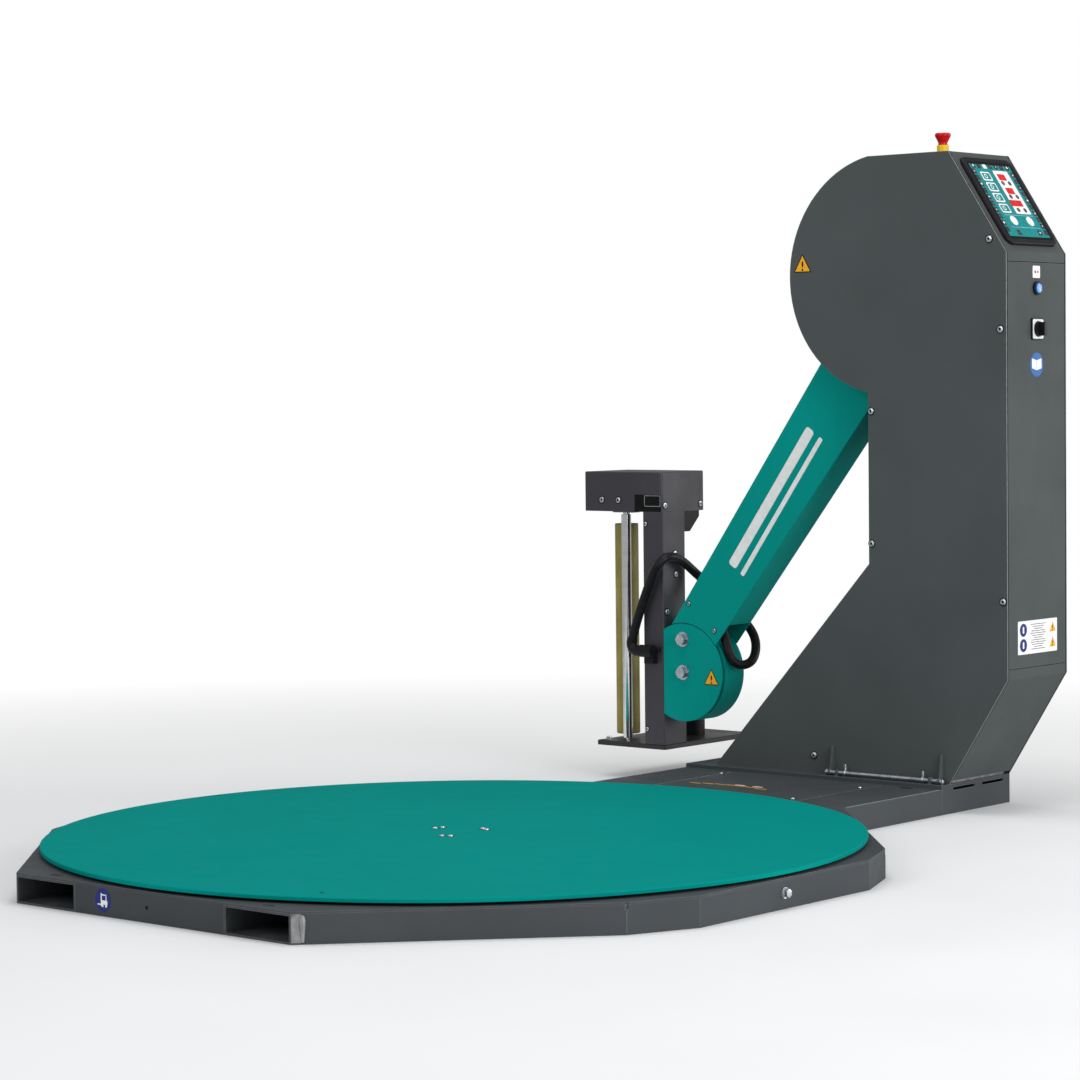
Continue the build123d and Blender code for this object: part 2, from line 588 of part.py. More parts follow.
# Hinge brackets on the front panel turn on the rod, which the base box's lugs hold.
rod_low = HINGE_X_LOW - 6
rod_high = HINGE_X_HIGH + 6
bracket_face = outline([(0, 0), (9, -6), (COLUMN_FRONT - HINGE_Y, -6), (COLUMN_FRONT - HINGE_Y, 58), (9, 58)])
bracket_face += Circle(1.35 * HINGE_ROD_RADIUS)
bracket_face -= Circle(HINGE_ROD_RADIUS + RUN)
brackets = []
for x in (HINGE_X_LOW, HINGE_X_HIGH):
    plate = Rot(0, 0, 90) * Rot(90, 0, 0) * extrude(bracket_face, 4)
    brackets.append(Pos(x - 2, HINGE_Y, HINGE_Z) * plate)
save("hinge_brackets", *brackets)

save("hinge_rod", rod_x(HINGE_Y, HINGE_Z, HINGE_ROD_RADIUS, rod_low, rod_high))

# ---------------------------------------------------------------- console and controls
mid_y = (COLUMN_FRONT + COLUMN_BACK) / 2
console_plane = Plane(
    origin=((TOP_BACK_X + REAR_X) / 2, mid_y, (top_z + CHAMFER_Z) / 2),
    x_dir=(0, 1, 0),
    z_dir=(top_z - CHAMFER_Z, 0, REAR_X - TOP_BACK_X),
)
window_width = CONSOLE_WIDTH - 2 * CONSOLE_RIM
window_length = CONSOLE_LENGTH - 2 * CONSOLE_RIM
recess_floor = CONSOLE_DEPTH - CONSOLE_RECESS
bezel = extrude(RectangleRounded(CONSOLE_WIDTH, CONSOLE_LENGTH, 22), CONSOLE_DEPTH)
bezel = fillet(bezel.edges().group_by(Axis.Z)[-1], 3)
bezel -= Pos(0, 0, recess_floor) * extrude(RectangleRounded(window_width, window_length, 12), CONSOLE_DEPTH)
save("console_bezel", console_plane * bezel)
film = extrude(RectangleRounded(window_width - 1, window_length - 1, 12), 0.75 * CONSOLE_RECESS)
save("console_panel", console_plane * (Pos(0, 0, recess_floor) * film))

collar_top = top_z + STOP_COLLAR_HEIGHT
collar = rod_z(STOP_X, mid_y, STOP_COLLAR_RADIUS, top_z, collar_top)
collar = fillet(collar.edges().group_by(Axis.Z)[-1], 1.5)
collar -= rod_z(STOP_X, mid_y, STOP_STEM_RADIUS + RUN, top_z, collar_top + 1)
save("stop_collar", collar)
head_low = collar_top + STOP_TRAVEL_ROOM
rim_low = head_low + STOP_TAPER_HEIGHT
stop = rod_z(STOP_X, mid_y, STOP_HEAD_RADIUS, rim_low, rim_low + STOP_RIM_HEIGHT)
stop = fillet(stop.edges().group_by(Axis.Z)[-1], 0.6 * STOP_RIM_HEIGHT)
taper = Cone(STOP_STEM_RADIUS, STOP_HEAD_RADIUS, STOP_TAPER_HEIGHT)
stop += Pos(STOP_X, mid_y, head_low + STOP_TAPER_HEIGHT / 2) * taper
stop += rod_z(STOP_X, mid_y, STOP_STEM_RADIUS, top_z + 8, head_low)
save("stop_button", stop)

reset_ring = rod_x(mid_y, RESET_Z, RESET_RING_RADIUS, REAR_X, REAR_X + 6)
reset_ring = fillet(reset_ring.edges().group_by(Axis.X)[-1], 2)
reset_ring -= rod_x(mid_y, RESET_Z, RESET_RADIUS + RUN, REAR_X - 1, REAR_X + 7)
save("reset_ring", reset_ring)
reset = rod_x(mid_y, RESET_Z, RESET_RADIUS, REAR_X - 8, REAR_X + 9)
save("reset_button", fillet(reset.edges().group_by(Axis.X)[-1], 1.5))

switch_plate = Rot(0, 0, 90) * Rot(90, 0, 0) * extrude(RectangleRounded(SWITCH_PLATE, SWITCH_PLATE, 5), 4)
switch_plate = Pos(REAR_X, mid_y, SWITCH_Z) * switch_plate
switch_plate -= rod_x(mid_y, SWITCH_Z, KNOB_STEM_RADIUS + RUN, REAR_X - 1, REAR_X + 5)
save("switch_plate", switch_plate)
knob_base = REAR_X + 4 + GAP
grip_z = (SWITCH_Z - KNOB_RADIUS + 1, SWITCH_Z + KNOB_RADIUS - 1)
knob = rod_x(mid_y, SWITCH_Z, KNOB_RADIUS, knob_base, knob_base + 6)
knob += block((knob_base + 6, knob_base + 20), (mid_y - 5, mid_y + 5), grip_z)
knob += rod_x(mid_y, SWITCH_Z, KNOB_STEM_RADIUS, REAR_X - 12, knob_base + 1)
save("switch_knob", knob)

door -= rod_x(mid_y, RESET_Z, RESET_RADIUS + RUN, REAR_X - 10, REAR_X + 1)
door -= rod_x(mid_y, SWITCH_Z, KNOB_STEM_RADIUS + RUN, REAR_X - 10, REAR_X + 1)
save("rear_door", door)

# ---------------------------------------------------------------- arm
arm_length = math.hypot(PIVOT_X - KNEE_X, PIVOT_Z - KNEE_Z)
arm_tilt = math.degrees(math.atan2(PIVOT_X - KNEE_X, PIVOT_Z - KNEE_Z))
to_arm = Pos(KNEE_X, 0, KNEE_Z) * Rot(0, arm_tilt, 0)
arm_back = ARM_FRONT + ARM_DEPTH
shell_face = outline(
    [(-ARM_LEFT, 0), (ARM_RIGHT_LOW, 0), (ARM_RIGHT_HIGH, arm_length), (-ARM_LEFT, arm_length)]
)
end_middle = (ARM_RIGHT_HIGH - ARM_LEFT) / 2
shell_face += Pos(end_middle, arm_length) * Circle((ARM_RIGHT_HIGH + ARM_LEFT) / 2)
cavity = offset(shell_face, -ARM_SHEET)
cavity += outline([(-ARM_LEFT + ARM_SHEET, 0), (ARM_RIGHT_LOW - ARM_SHEET, 0), (0, 40)])
arm_end_radius = KNEE_RADIUS + 2
shell = upright(shell_face - Circle(arm_end_radius), ARM_FRONT, arm_back)
shell -= upright(cavity, ARM_FRONT + ARM_SHEET, arm_back - ARM_SHEET)
for low, high in ((ARM_FRONT, ARM_FRONT + ARM_SHEET), (arm_back - ARM_SHEET, arm_back)):
    shell -= rod_y(0, arm_length, HUB_BOSS_RADIUS, low - 1, high + 1)
# The inner edge stops short at the knee, where the conduit leaves the arm.
inside_y = (ARM_FRONT + ARM_SHEET, arm_back - ARM_SHEET)
shell -= block((ARM_RIGHT_LOW - 4, ARM_RIGHT_LOW + 40), inside_y, (60, 178))
save("arm_shell", to_arm * shell)

bar_face = Circle(ARM_BAR_HALF) + Pos(0, arm_length / 2) * Rectangle(2 * ARM_BAR_HALF, arm_length)
bar_face += Pos(0, arm_length) * Circle(HUB_BOSS_RADIUS + 2)
bar_face -= Circle(TIE_PIN_RADIUS + RUN) + Pos(0, arm_length) * Circle(SHAFT_RADIUS + 4)
bar_front = (ARM_FRONT + ARM_SHEET + SIDE_GAP, ARM_FRONT + ARM_SHEET + SIDE_GAP + ARM_BAR_THICKNESS)
save("arm_bars", to_arm * upright(bar_face, *bar_front), to_arm * upright(bar_face, *tie_y))

boss = rod_y(PIVOT_X, PIVOT_Z, SHAFT_RADIUS + 4, ARM_FRONT - 4, tie_y[1])
boss += rod_y(PIVOT_X, PIVOT_Z, HUB_BOSS_RADIUS, ARM_FRONT - 4, bar_front[0])
boss += rod_y(PIVOT_X, PIVOT_Z, HUB_BOSS_RADIUS, bar_front[1], tie_y[0])
boss += rod_y(PIVOT_X, PIVOT_Z, SHAFT_RADIUS, plate_front[0] - 4, plate_back[1] + 6)
save("pivot_shaft", boss)
big = Pos(PIVOT_X, 0, PIVOT_Z) * upright(
    sprocket_face(LIFT_PITCH, LIFT_RING_TEETH, SHAFT_RADIUS), sprocket_front, sprocket_back
)
save("arm_sprocket", big)

# ---------------------------------------------------------------- tie rod
tie_face = Circle(TIE_EYE_RADIUS) + Pos(0, arm_length) * Circle(TIE_EYE_RADIUS)
tie_face += Pos(0, arm_length / 2) * Rectangle(2 * TIE_HALF, arm_length)
tie_face -= Circle(TIE_PIN_RADIUS + KNEE_CLEARANCE) + Pos(0, arm_length) * Circle(TIE_PIN_RADIUS + RUN)
save("tie_rod", Pos(0, 0, LINK_SPACING) * to_arm * upright(tie_face, *tie_y))

# ---------------------------------------------------------------- carriage
knee_left = MAST_RIGHT_X - KNEE_X
drum = Circle(KNEE_RADIUS) & (Pos(knee_left + 200, 0) * Rectangle(400, 400))
drum_front = bar_front[1] + SIDE_GAP
front_sheet = (ARM_FRONT, ARM_FRONT + ARM_SHEET)
knuckle = upright(drum, drum_front, arm_back)
knuckle -= upright(offset(drum, -FRAME_SHEET), drum_front + FRAME_SHEET, arm_back - FRAME_SHEET)
knuckle += upright(drum, *front_sheet)
web = drum & (Pos(knee_left + 9, 0) * Rectangle(18, 400))
knuckle += upright(web, ARM_FRONT, arm_back)
for z in (0, LINK_SPACING):
    knuckle += rod_y(0, z, 1.7 * TIE_PIN_RADIUS, drum_front, arm_back)
    knuckle -= rod_y(0, z, TIE_PIN_RADIUS, ARM_FRONT - 1, arm_back + 1)
save("knuckle_housing", Pos(KNEE_X, 0, KNEE_Z) * knuckle)

bolt = hex_bolt(ARM_FRONT, tie_y[1] + 4, TIE_PIN_RADIUS)
bolt += rod_y(0, 0, 1.4 * TIE_PIN_RADIUS, tie_y[1] + SIDE_GAP, tie_y[1] + 4)
save(
    "knuckle_bolts",
    Pos(KNEE_X, 0, KNEE_Z) * bolt,
    Pos(KNEE_X, 0, KNEE_Z + LINK_SPACING) * bolt,
)

base_plate_top = CARRIAGE_BOTTOM + BASE_PLATE_THICKNESS
plate = block((BASE_PLATE_LEFT, MAST_RIGHT_X), (ARM_FRONT, BASE_PLATE_BACK), (CARRIAGE_BOTTOM, base_plate_top))
plate = fillet(plate.edges().filter_by(Axis.Z), 4)
plate = chamfer(plate.edges().group_by(Axis.Z)[-1], 2)
plate -= rod_z(ROLLER_X, ROLLER_Y, STUB_RADIUS + RUN, CARRIAGE_BOTTOM + 2, base_plate_top + 1)
plate -= rod_z(IDLER_X, IDLER_Y, IDLER_STUB_RADIUS + RUN, CARRIAGE_BOTTOM + 2, base_plate_top + 1)
plate -= rod_z(REEL_X, REEL_Y, STUB_RADIUS + RUN, CARRIAGE_BOTTOM + 2, base_plate_top + 1)
save("carriage_base", plate)

mast_x = (MAST_RIGHT_X - MAST_WIDTH, MAST_RIGHT_X)
mast_y = (ARM_FRONT, ARM_FRONT + MAST_DEPTH)
mast = block(mast_x, mast_y, (base_plate_top, HEAD_BOTTOM))
mast = fillet(mast.edges().filter_by(Axis.Z), 3)
mast -= block(
    (mast_x[0] + MAST_WALL, mast_x[1] - MAST_WALL),
    (mast_y[0] + MAST_WALL, mast_y[1] - MAST_WALL),
    (base_plate_top - 1, HEAD_BOTTOM + 1),
)
save("mast", mast)

head_x = (HEAD_LEFT, HEAD_RIGHT)
head_y = (ARM_FRONT, HEAD_BACK)
cover = fillet(block(head_x, head_y, (HEAD_BOTTOM, HEAD_TOP)).edges().filter_by(Axis.Z), 8)
cover = fillet(cover.edges().group_by(Axis.Z)[-1], 3)
cover -= block(
    (head_x[0] + COLUMN_SHEET, head_x[1] - COLUMN_SHEET),
    (head_y[0] + COLUMN_SHEET, head_y[1] - COLUMN_SHEET),
    (HEAD_BOTTOM - 1, HEAD_TOP - COLUMN_SHEET),
)
save("head_cover", cover)
head_plate = block(
    (head_x[0] + COLUMN_SHEET, head_x[1] - COLUMN_SHEET),
    (head_y[0] + COLUMN_SHEET, head_y[1] - COLUMN_SHEET),
    (HEAD_BOTTOM, HEAD_BOTTOM + HEAD_PLATE),
)
head_plate -= rod_z(ROLLER_X, ROLLER_Y, STUB_RADIUS + RUN, HEAD_BOTTOM - 1, HEAD_BOTTOM + HEAD_PLATE + 1)
head_plate -= rod_z(IDLER_X, IDLER_Y, IDLER_STUB_RADIUS + RUN, HEAD_BOTTOM - 1, HEAD_BOTTOM + HEAD_PLATE + 1)
save("head_plate", head_plate)
brake = rod_z(ROLLER_X, ROLLER_Y, 36, HEAD_BOTTOM + HEAD_PLATE, HEAD_BOTTOM + HEAD_PLATE + 46)
brake -= rod_z(ROLLER_X, ROLLER_Y, STUB_RADIUS + RUN, HEAD_BOTTOM, HEAD_BOTTOM + 60)
save("roller_brake", brake)

gusset_low = HEAD_BOTTOM - 50
gusset_face = outline([
    (mast_y[1], gusset_low),
    (mast_y[1] + 23, gusset_low),
    (mast_y[1] + 60, HEAD_BOTTOM - 14),
    (mast_y[1] + 60, HEAD_BOTTOM),
    (mast_y[1], HEAD_BOTTOM),
])
gusset = Rot(0, 0, 90) * Rot(90, 0, 0) * extrude(gusset_face, MAST_WIDTH - 6)
save("head_gusset", Pos(mast_x[0] + 3, 0, 0) * gusset)

sleeve = rod_z(ROLLER_X, ROLLER_Y, ROLLER_RADIUS, ROLLER_LOW_Z, ROLLER_HIGH_Z)
sleeve = chamfer(sleeve.edges().filter_by(GeomType.CIRCLE), 1.5)
sleeve -= rod_z(ROLLER_X, ROLLER_Y, ROLLER_CORE_RADIUS, ROLLER_LOW_Z, ROLLER_HIGH_Z)
save("rubber_sleeve", sleeve)
roller_core = rod_z(ROLLER_X, ROLLER_Y, ROLLER_CORE_RADIUS, ROLLER_LOW_Z, ROLLER_HIGH_Z)
roller_core += rod_z(ROLLER_X, ROLLER_Y, STUB_RADIUS, CARRIAGE_BOTTOM + 2 + GAP, HEAD_BOTTOM + 40)
save("roller_core", roller_core)
idler = rod_z(IDLER_X, IDLER_Y, IDLER_RADIUS, base_plate_top + 8, HEAD_BOTTOM - 8)
idler += rod_z(IDLER_X, IDLER_Y, IDLER_STUB_RADIUS, CARRIAGE_BOTTOM + 2 + GAP, HEAD_BOTTOM + HEAD_PLATE)
save("idle_roller", idler)
mandrel = rod_z(REEL_X, REEL_Y, REEL_MANDREL_RADIUS, base_plate_top + GAP, REEL_MANDREL_TOP)
mandrel = chamfer(mandrel.edges().group_by(Axis.Z)[-1], 8)
mandrel += rod_z(REEL_X, REEL_Y, STUB_RADIUS, CARRIAGE_BOTTOM + 2 + GAP, base_plate_top + 1)
save("reel_mandrel", mandrel)

# ---------------------------------------------------------------- conduit


def bend_radii(route):
    """The largest even radius at each corner: 0.45 of the shorter run over the tangent of half the turn."""
    points = [Vector(*p) for p in route]
    radii = []
    for a, b, c in zip(points, points[1:], points[2:]):
        turn = (b - a).get_angle(c - b)
        shorter = min((b - a).length, (c - b).length)
        radii.append(0.45 * shorter / math.tan(math.radians(turn / 2)))
    return radii


radii = bend_radii(CONDUIT_ROUTE)
path = FilletPolyline(*CONDUIT_ROUTE, radius=radii)
start = Plane(origin=path @ 0, z_dir=path % 0)
conduit = sweep(start * Circle(CONDUIT_RADIUS), path=path)
print("conduit radii", [round(radius) for radius in radii])
round_volume = math.pi * CONDUIT_RADIUS**2 * path.length
print("conduit length", round(path.length, 1), "volume ratio", round(conduit.volume / round_volume, 4))
save("conduit", conduit)

# A rigid elbow takes the conduit's end into the front of the mast.
end = Vector(*CONDUIT_ROUTE[-1])
run_down = (end - Vector(*CONDUIT_ROUTE[-2])).normalized()
corner = end + run_down * 30
elbow_x = mast_x[1] - 20
elbow_path = FilletPolyline(tuple(end), tuple(corner), (elbow_x, corner.Y, corner.Z), radius=17)
elbow = sweep(Plane(origin=end, z_dir=run_down) * Circle(CONDUIT_RADIUS + 2), path=elbow_path)
elbow += rod_x(corner.Y, corner.Z, CONDUIT_RADIUS + 4, mast_x[0] + 4, elbow_x)
elbow += block((mast_x[0] + 14, elbow_x), (corner.Y, mast_y[0]), (corner.Z - 30, corner.Z))
save("conduit_elbow", elbow)
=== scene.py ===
import json
import math

import bpy
from mathutils import Matrix, Vector


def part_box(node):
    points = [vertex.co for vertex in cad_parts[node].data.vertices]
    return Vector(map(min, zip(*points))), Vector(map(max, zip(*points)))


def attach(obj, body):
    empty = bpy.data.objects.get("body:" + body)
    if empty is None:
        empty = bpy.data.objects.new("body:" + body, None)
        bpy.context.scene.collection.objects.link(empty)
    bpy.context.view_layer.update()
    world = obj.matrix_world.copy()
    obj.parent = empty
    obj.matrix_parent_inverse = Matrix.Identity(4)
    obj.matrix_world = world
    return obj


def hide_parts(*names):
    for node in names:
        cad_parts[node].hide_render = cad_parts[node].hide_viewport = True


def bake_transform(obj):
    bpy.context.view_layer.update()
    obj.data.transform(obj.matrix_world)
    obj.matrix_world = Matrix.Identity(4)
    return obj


# Turntable pallet wrapper: finishes, fittings, signs, hose, lights and camera
# around the machine's frame. Metres; +Z up, +Y from the turntable to the column.

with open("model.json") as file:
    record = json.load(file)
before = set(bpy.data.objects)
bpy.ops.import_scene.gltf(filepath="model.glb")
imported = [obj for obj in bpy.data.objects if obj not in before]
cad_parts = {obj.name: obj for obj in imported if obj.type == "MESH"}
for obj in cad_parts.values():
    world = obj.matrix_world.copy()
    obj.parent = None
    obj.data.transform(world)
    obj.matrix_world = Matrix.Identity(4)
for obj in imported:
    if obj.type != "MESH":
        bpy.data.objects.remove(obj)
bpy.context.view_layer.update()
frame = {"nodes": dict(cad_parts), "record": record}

UP = Vector((0, 0, 1))
FORWARD = Vector((0, -1, 0))       # the side the front panel faces
RIGHT = Vector((1, 0, 0))          # the side the console faces
BACKWARD = Vector((0, 1, 0))


# ---------------------------------------------------------------- camera
CAMERA_PLACE = (4.2318, -4.6151, 0.9611)
CAMERA_TURN = math.radians(40.904)
CAMERA_DIP = math.radians(2.787)
CAMERA_ROLL = math.radians(0.645)
CAMERA_LENS = 104.48               # millimetres, on a sensor this wide
SENSOR_WIDTH = 36.0
FAR_END = 100.0


def add_camera():
    data = bpy.data.cameras.new("camera")
    data.lens = CAMERA_LENS
    data.sensor_width = SENSOR_WIDTH
    data.clip_end = FAR_END
    camera = bpy.data.objects.new("camera", data)
    bpy.context.scene.collection.objects.link(camera)
    turn = Matrix.Rotation(CAMERA_TURN, 4, "Z")
    dip = Matrix.Rotation(math.pi / 2 - CAMERA_DIP, 4, "X")
    roll = Matrix.Rotation(-CAMERA_ROLL, 4, "Z")
    camera.matrix_world = Matrix.Translation(CAMERA_PLACE) @ turn @ dip @ roll
    bpy.context.scene.camera = camera


# ---------------------------------------------------------------- finishes
EDGE_SAMPLES = 4
SHADE_LOW, SHADE_HIGH = 0.35, 0.65         # the part of a pattern that changes the shade
GLOSS_LOW, GLOSS_HIGH = 0.3, 0.7           # the part of a pattern that changes the gloss
FLAT_MATCH, CORNER_MATCH = 0.97, 0.80      # how well the two normals agree off and on an edge
# Patch size of the uneven edge wear and painted edge highlight.
WEAR_AND_HIGHLIGHT_PATCH = 0.02

# Sizes of the patches in each kind of finish, for its shade and for its gloss.
COAT_SHADE_PATCH, COAT_GLOSS_PATCH = 0.28, 0.06
PLASTIC_SHADE_PATCH, PLASTIC_GLOSS_PATCH = 0.012, 0.008
METAL_SHADE_PATCH, METAL_GLOSS_PATCH = 0.02, 0.006
METAL_GRAIN = 0.0015


def colour(red, green, blue):
    """A colour from a 0 to 255 paint chart, as the shader's linear values."""
    linear = [((c / 255 + 0.055) / 1.055) ** 2.4 for c in (red, green, blue)]
    return (*linear, 1.0)


def blank(name, metallic=0.0, **settings):
    material = bpy.data.materials.new(name)
    material.use_nodes = True
    shader = material.node_tree.nodes["Principled BSDF"]
    shader.inputs["Metallic"].default_value = metallic
    for key, value in settings.items():
        shader.inputs[key.replace("_", " ")].default_value = value
    return material


def node(material, kind, **inputs):
    made = material.node_tree.nodes.new(kind)
    for key, value in inputs.items():
        made.inputs[key.replace("_", " ")].default_value = value
    return made


def connect(material, source, target):
    material.node_tree.links.new(source, target)


def clouds(material, size, detail=3.0, stretch=(1, 1, 1)):
    """A cloudy pattern with patches about size across, fixed to the piece."""
    place = node(material, "ShaderNodeTexCoord")
    mapping = node(material, "ShaderNodeMapping", Scale=stretch)
    noise = node(material, "ShaderNodeTexNoise", Scale=1 / size, Detail=detail)
    connect(material, place.outputs["Object"], mapping.inputs["Vector"])
    connect(material, mapping.outputs["Vector"], noise.inputs["Vector"])
    return noise.outputs["Fac"]


def tint(material, pattern, dark, light):
    """Colours the piece between two shades along a pattern, and returns the colour."""
    ramp = material.node_tree.nodes.new("ShaderNodeValToRGB")
    ramp.color_ramp.elements[0].position = SHADE_LOW
    ramp.color_ramp.elements[0].color = dark
    ramp.color_ramp.elements[1].position = SHADE_HIGH
    ramp.color_ramp.elements[1].color = light
    connect(material, pattern, ramp.inputs["Fac"])
    shader = material.node_tree.nodes["Principled BSDF"]
    connect(material, ramp.outputs["Color"], shader.inputs["Base Color"])
    return ramp.outputs["Color"]


def gloss(material, pattern, smooth, rough):
    """Varies the roughness between two values along a pattern."""
    spread = node(material, "ShaderNodeMapRange")
    spread.inputs["From Min"].default_value = GLOSS_LOW
    spread.inputs["From Max"].default_value = GLOSS_HIGH
    spread.inputs["To Min"].default_value = smooth
    spread.inputs["To Max"].default_value = rough
    connect(material, pattern, spread.inputs["Value"])
    shader = material.node_tree.nodes["Principled BSDF"]
    connect(material, spread.outputs["Result"], shader.inputs["Roughness"])


def relief(material, pattern, depth, edge=0.0008):
    """Raises a pattern by depth, and rounds the look of sharp edges by edge."""
    bump = node(material, "ShaderNodeBump", Distance=depth, Strength=1.0)
    rounded = node(material, "ShaderNodeBevel", Radius=edge)
    rounded.samples = EDGE_SAMPLES
    connect(material, rounded.outputs["Normal"], bump.inputs["Normal"])
    connect(material, pattern, bump.inputs["Height"])
    shader = material.node_tree.nodes["Principled BSDF"]
    connect(material, bump.outputs["Normal"], shader.inputs["Normal"])


def edge_wear_and_highlight(material, base, wear_and_highlight_colour, edge, amount):
    """Lightens the paint along sharp edges, unevenly: partly wear, as handling does, partly a
    painted highlight where the edges catch the light.
    """
    rounded = node(material, "ShaderNodeBevel", Radius=edge)
    rounded.samples = EDGE_SAMPLES
    true = node(material, "ShaderNodeNewGeometry")
    match = node(material, "ShaderNodeVectorMath")
    match.operation = "DOT_PRODUCT"
    connect(material, rounded.outputs["Normal"], match.inputs[0])
    connect(material, true.outputs["Normal"], match.inputs[1])
    rim = node(material, "ShaderNodeMapRange")
    rim.inputs["From Min"].default_value = FLAT_MATCH
    rim.inputs["From Max"].default_value = CORNER_MATCH
    rim.inputs["To Max"].default_value = amount
    connect(material, match.outputs["Value"], rim.inputs["Value"])
    patchy = node(material, "ShaderNodeMath")
    patchy.operation = "MULTIPLY"
    connect(material, rim.outputs["Result"], patchy.inputs[0])
    connect(material, clouds(material, WEAR_AND_HIGHLIGHT_PATCH), patchy.inputs[1])
    mix = node(material, "ShaderNodeMix")
    mix.data_type = "RGBA"
    connect(material, patchy.outputs["Value"], mix.inputs["Factor"])
    connect(material, base, mix.inputs[6])
    mix.inputs[7].default_value = wear_and_highlight_colour
    shader = material.node_tree.nodes["Principled BSDF"]
    connect(material, mix.outputs[2], shader.inputs["Base Color"])


def powder_coat(name, dark, light, smooth, rough, wear_and_highlight_colour, grain=0.0012, depth=0.00006,
                shine=0.1, edge=0.0016, wear_and_highlight=0.8):
    """Sprayed and baked paint: soft patches, a fine orange-peel skin, worn edges with a painted
    highlight.
    """
    material = blank(name, Specular_IOR_Level=shine)
    base = tint(material, clouds(material, COAT_SHADE_PATCH, 5.0), dark, light)
    gloss(material, clouds(material, COAT_GLOSS_PATCH, 6.0), smooth, rough)
    relief(material, clouds(material, grain, 2.0), depth)
    edge_wear_and_highlight(material, base, wear_and_highlight_colour, edge, wear_and_highlight)
    return material


def moulding(name, dark, light, smooth=0.35, rough=0.5, grain=0.0006, depth=0.00003,
             **settings):
    """Moulded plastic or printed film with a fine even grain."""
    material = blank(name, Specular_IOR_Level=0.2, **settings)
    tint(material, clouds(material, PLASTIC_SHADE_PATCH, 4.0), dark, light)
    gloss(material, clouds(material, PLASTIC_GLOSS_PATCH, 4.0), smooth, rough)
    relief(material, clouds(material, grain, 2.0), depth, edge=0.0004)
    return material


def metal(name, dark, light, smooth, rough, stretch=(1, 1, 1), depth=0.00002):
    """Bare or plated metal with drawn or turned lines."""
    material = blank(name, metallic=1.0)
    tint(material, clouds(material, METAL_SHADE_PATCH, 5.0), dark, light)
    gloss(material, clouds(material, METAL_GLOSS_PATCH, 5.0, stretch), smooth, rough)
    relief(material, clouds(material, METAL_GRAIN, 3.0, stretch), depth, edge=0.0004)
    return material


# The teal slot's coat is the disc's teal painted lighter, to make up for the light its upright
# faces miss: painted light.
TEAL_COAT_PAINTED_LIGHT = powder_coat(
    "teal_coat_painted_light", colour(0, 147, 139), colour(0, 151, 143), 0.58, 0.68,
    wear_and_highlight_colour=colour(0, 128, 121), shine=0.04, wear_and_highlight=0.7)
DISC_COAT = powder_coat(
    "disc_coat", colour(0, 137, 130), colour(0, 139, 132), 0.7, 0.8,
    wear_and_highlight_colour=colour(0, 118, 112), shine=0.012, wear_and_highlight=0.7)
PLATE_COAT = powder_coat(
    "plate_coat", colour(24, 22, 26), colour(33, 31, 35), 0.34, 0.46,
    wear_and_highlight_colour=colour(96, 96, 100), shine=0.5)
PANEL_COAT = powder_coat(
    "panel_coat", colour(74, 79, 80), colour(80, 85, 86), 0.5, 0.64,
    grain=0.0018, depth=0.00012, wear_and_highlight_colour=colour(150, 153, 154), wear_and_highlight=1.0)
# The frame's edges are lightened more: partly wear, partly a painted highlight where its bends
# catch the light.
FRAME_COAT = powder_coat(
    "frame_coat", colour(67, 71, 74), colour(74, 78, 81), 0.45, 0.6,
    grain=0.002, depth=0.00008, wear_and_highlight_colour=colour(140, 143, 146), shine=0.05, edge=0.0022, wear_and_highlight=1.0)
CARRIAGE_COAT = powder_coat(
    "carriage_coat", colour(52, 50, 57), colour(60, 58, 65), 0.38, 0.5,
    grain=0.0014, depth=0.0001, wear_and_highlight_colour=colour(120, 121, 126), shine=0.45)
OILED_STEEL = metal(
    "oiled_steel", colour(112, 112, 114), colour(150, 150, 152), 0.3, 0.5, (1, 1, 6))
ZINC_PLATE = metal(
    "zinc_plate", colour(176, 184, 192), colour(210, 216, 222), 0.24, 0.36, depth=0.000004)
CHROME = metal(
    "polished_chrome", colour(226, 228, 230), colour(240, 241, 242), 0.05, 0.12, (1, 1, 12))
BARE_WELD = metal(
    "bare_weld", colour(118, 120, 121), colour(166, 167, 167), 0.45, 0.65, depth=0.0002)
WHEEL_NYLON = moulding(
    "wheel_nylon", colour(206, 200, 184), colour(222, 217, 202))
BLACK_MOULDING = moulding(
    "black_moulding", colour(16, 16, 19), colour(24, 24, 28))
HOSE_BLACK = moulding(
    "hose_black", colour(18, 18, 20), colour(28, 28, 31), 0.32, 0.46, grain=0.002,
    depth=0.00012)
CONSOLE_FILM = moulding(
    "console_film", colour(0, 128, 130), colour(2, 138, 138), 0.18, 0.28)
CASTING_GREY = moulding(
    "casting_grey", colour(118, 122, 126), colour(138, 142, 145), 0.5, 0.65,
    grain=0.003, depth=0.0004)
DRIVE_GREY = moulding(
    "drive_grey", colour(196, 197, 196), colour(208, 209, 207))
STOP_RED = moulding(
    "stop_red", colour(196, 22, 24), colour(212, 32, 30), 0.22, 0.34)
STOP_YELLOW = moulding(
    "stop_yellow", colour(238, 196, 30), colour(246, 206, 40), 0.3, 0.42)
LENS_BLUE = moulding(
    "lens_blue", colour(24, 104, 190), colour(50, 140, 222), 0.12, 0.22, Coat_Weight=0.6)
LENS_PALE = moulding(
    "lens_pale", colour(120, 190, 244), colour(168, 214, 250), 0.12, 0.22)
PLATE_WHITE = moulding(
    "plate_white", colour(228, 229, 227), colour(240, 240, 238))
SIGN_WHITE = moulding(
    "sign_white", colour(236, 236, 236), colour(246, 246, 246), 0.3, 0.4)
SIGN_BLUE = moulding(
    "sign_blue", colour(18, 92, 168), colour(24, 100, 176), 0.3, 0.4)
SIGN_NAVY = moulding(
    "sign_navy", colour(26, 38, 112), colour(34, 46, 124), 0.3, 0.4)
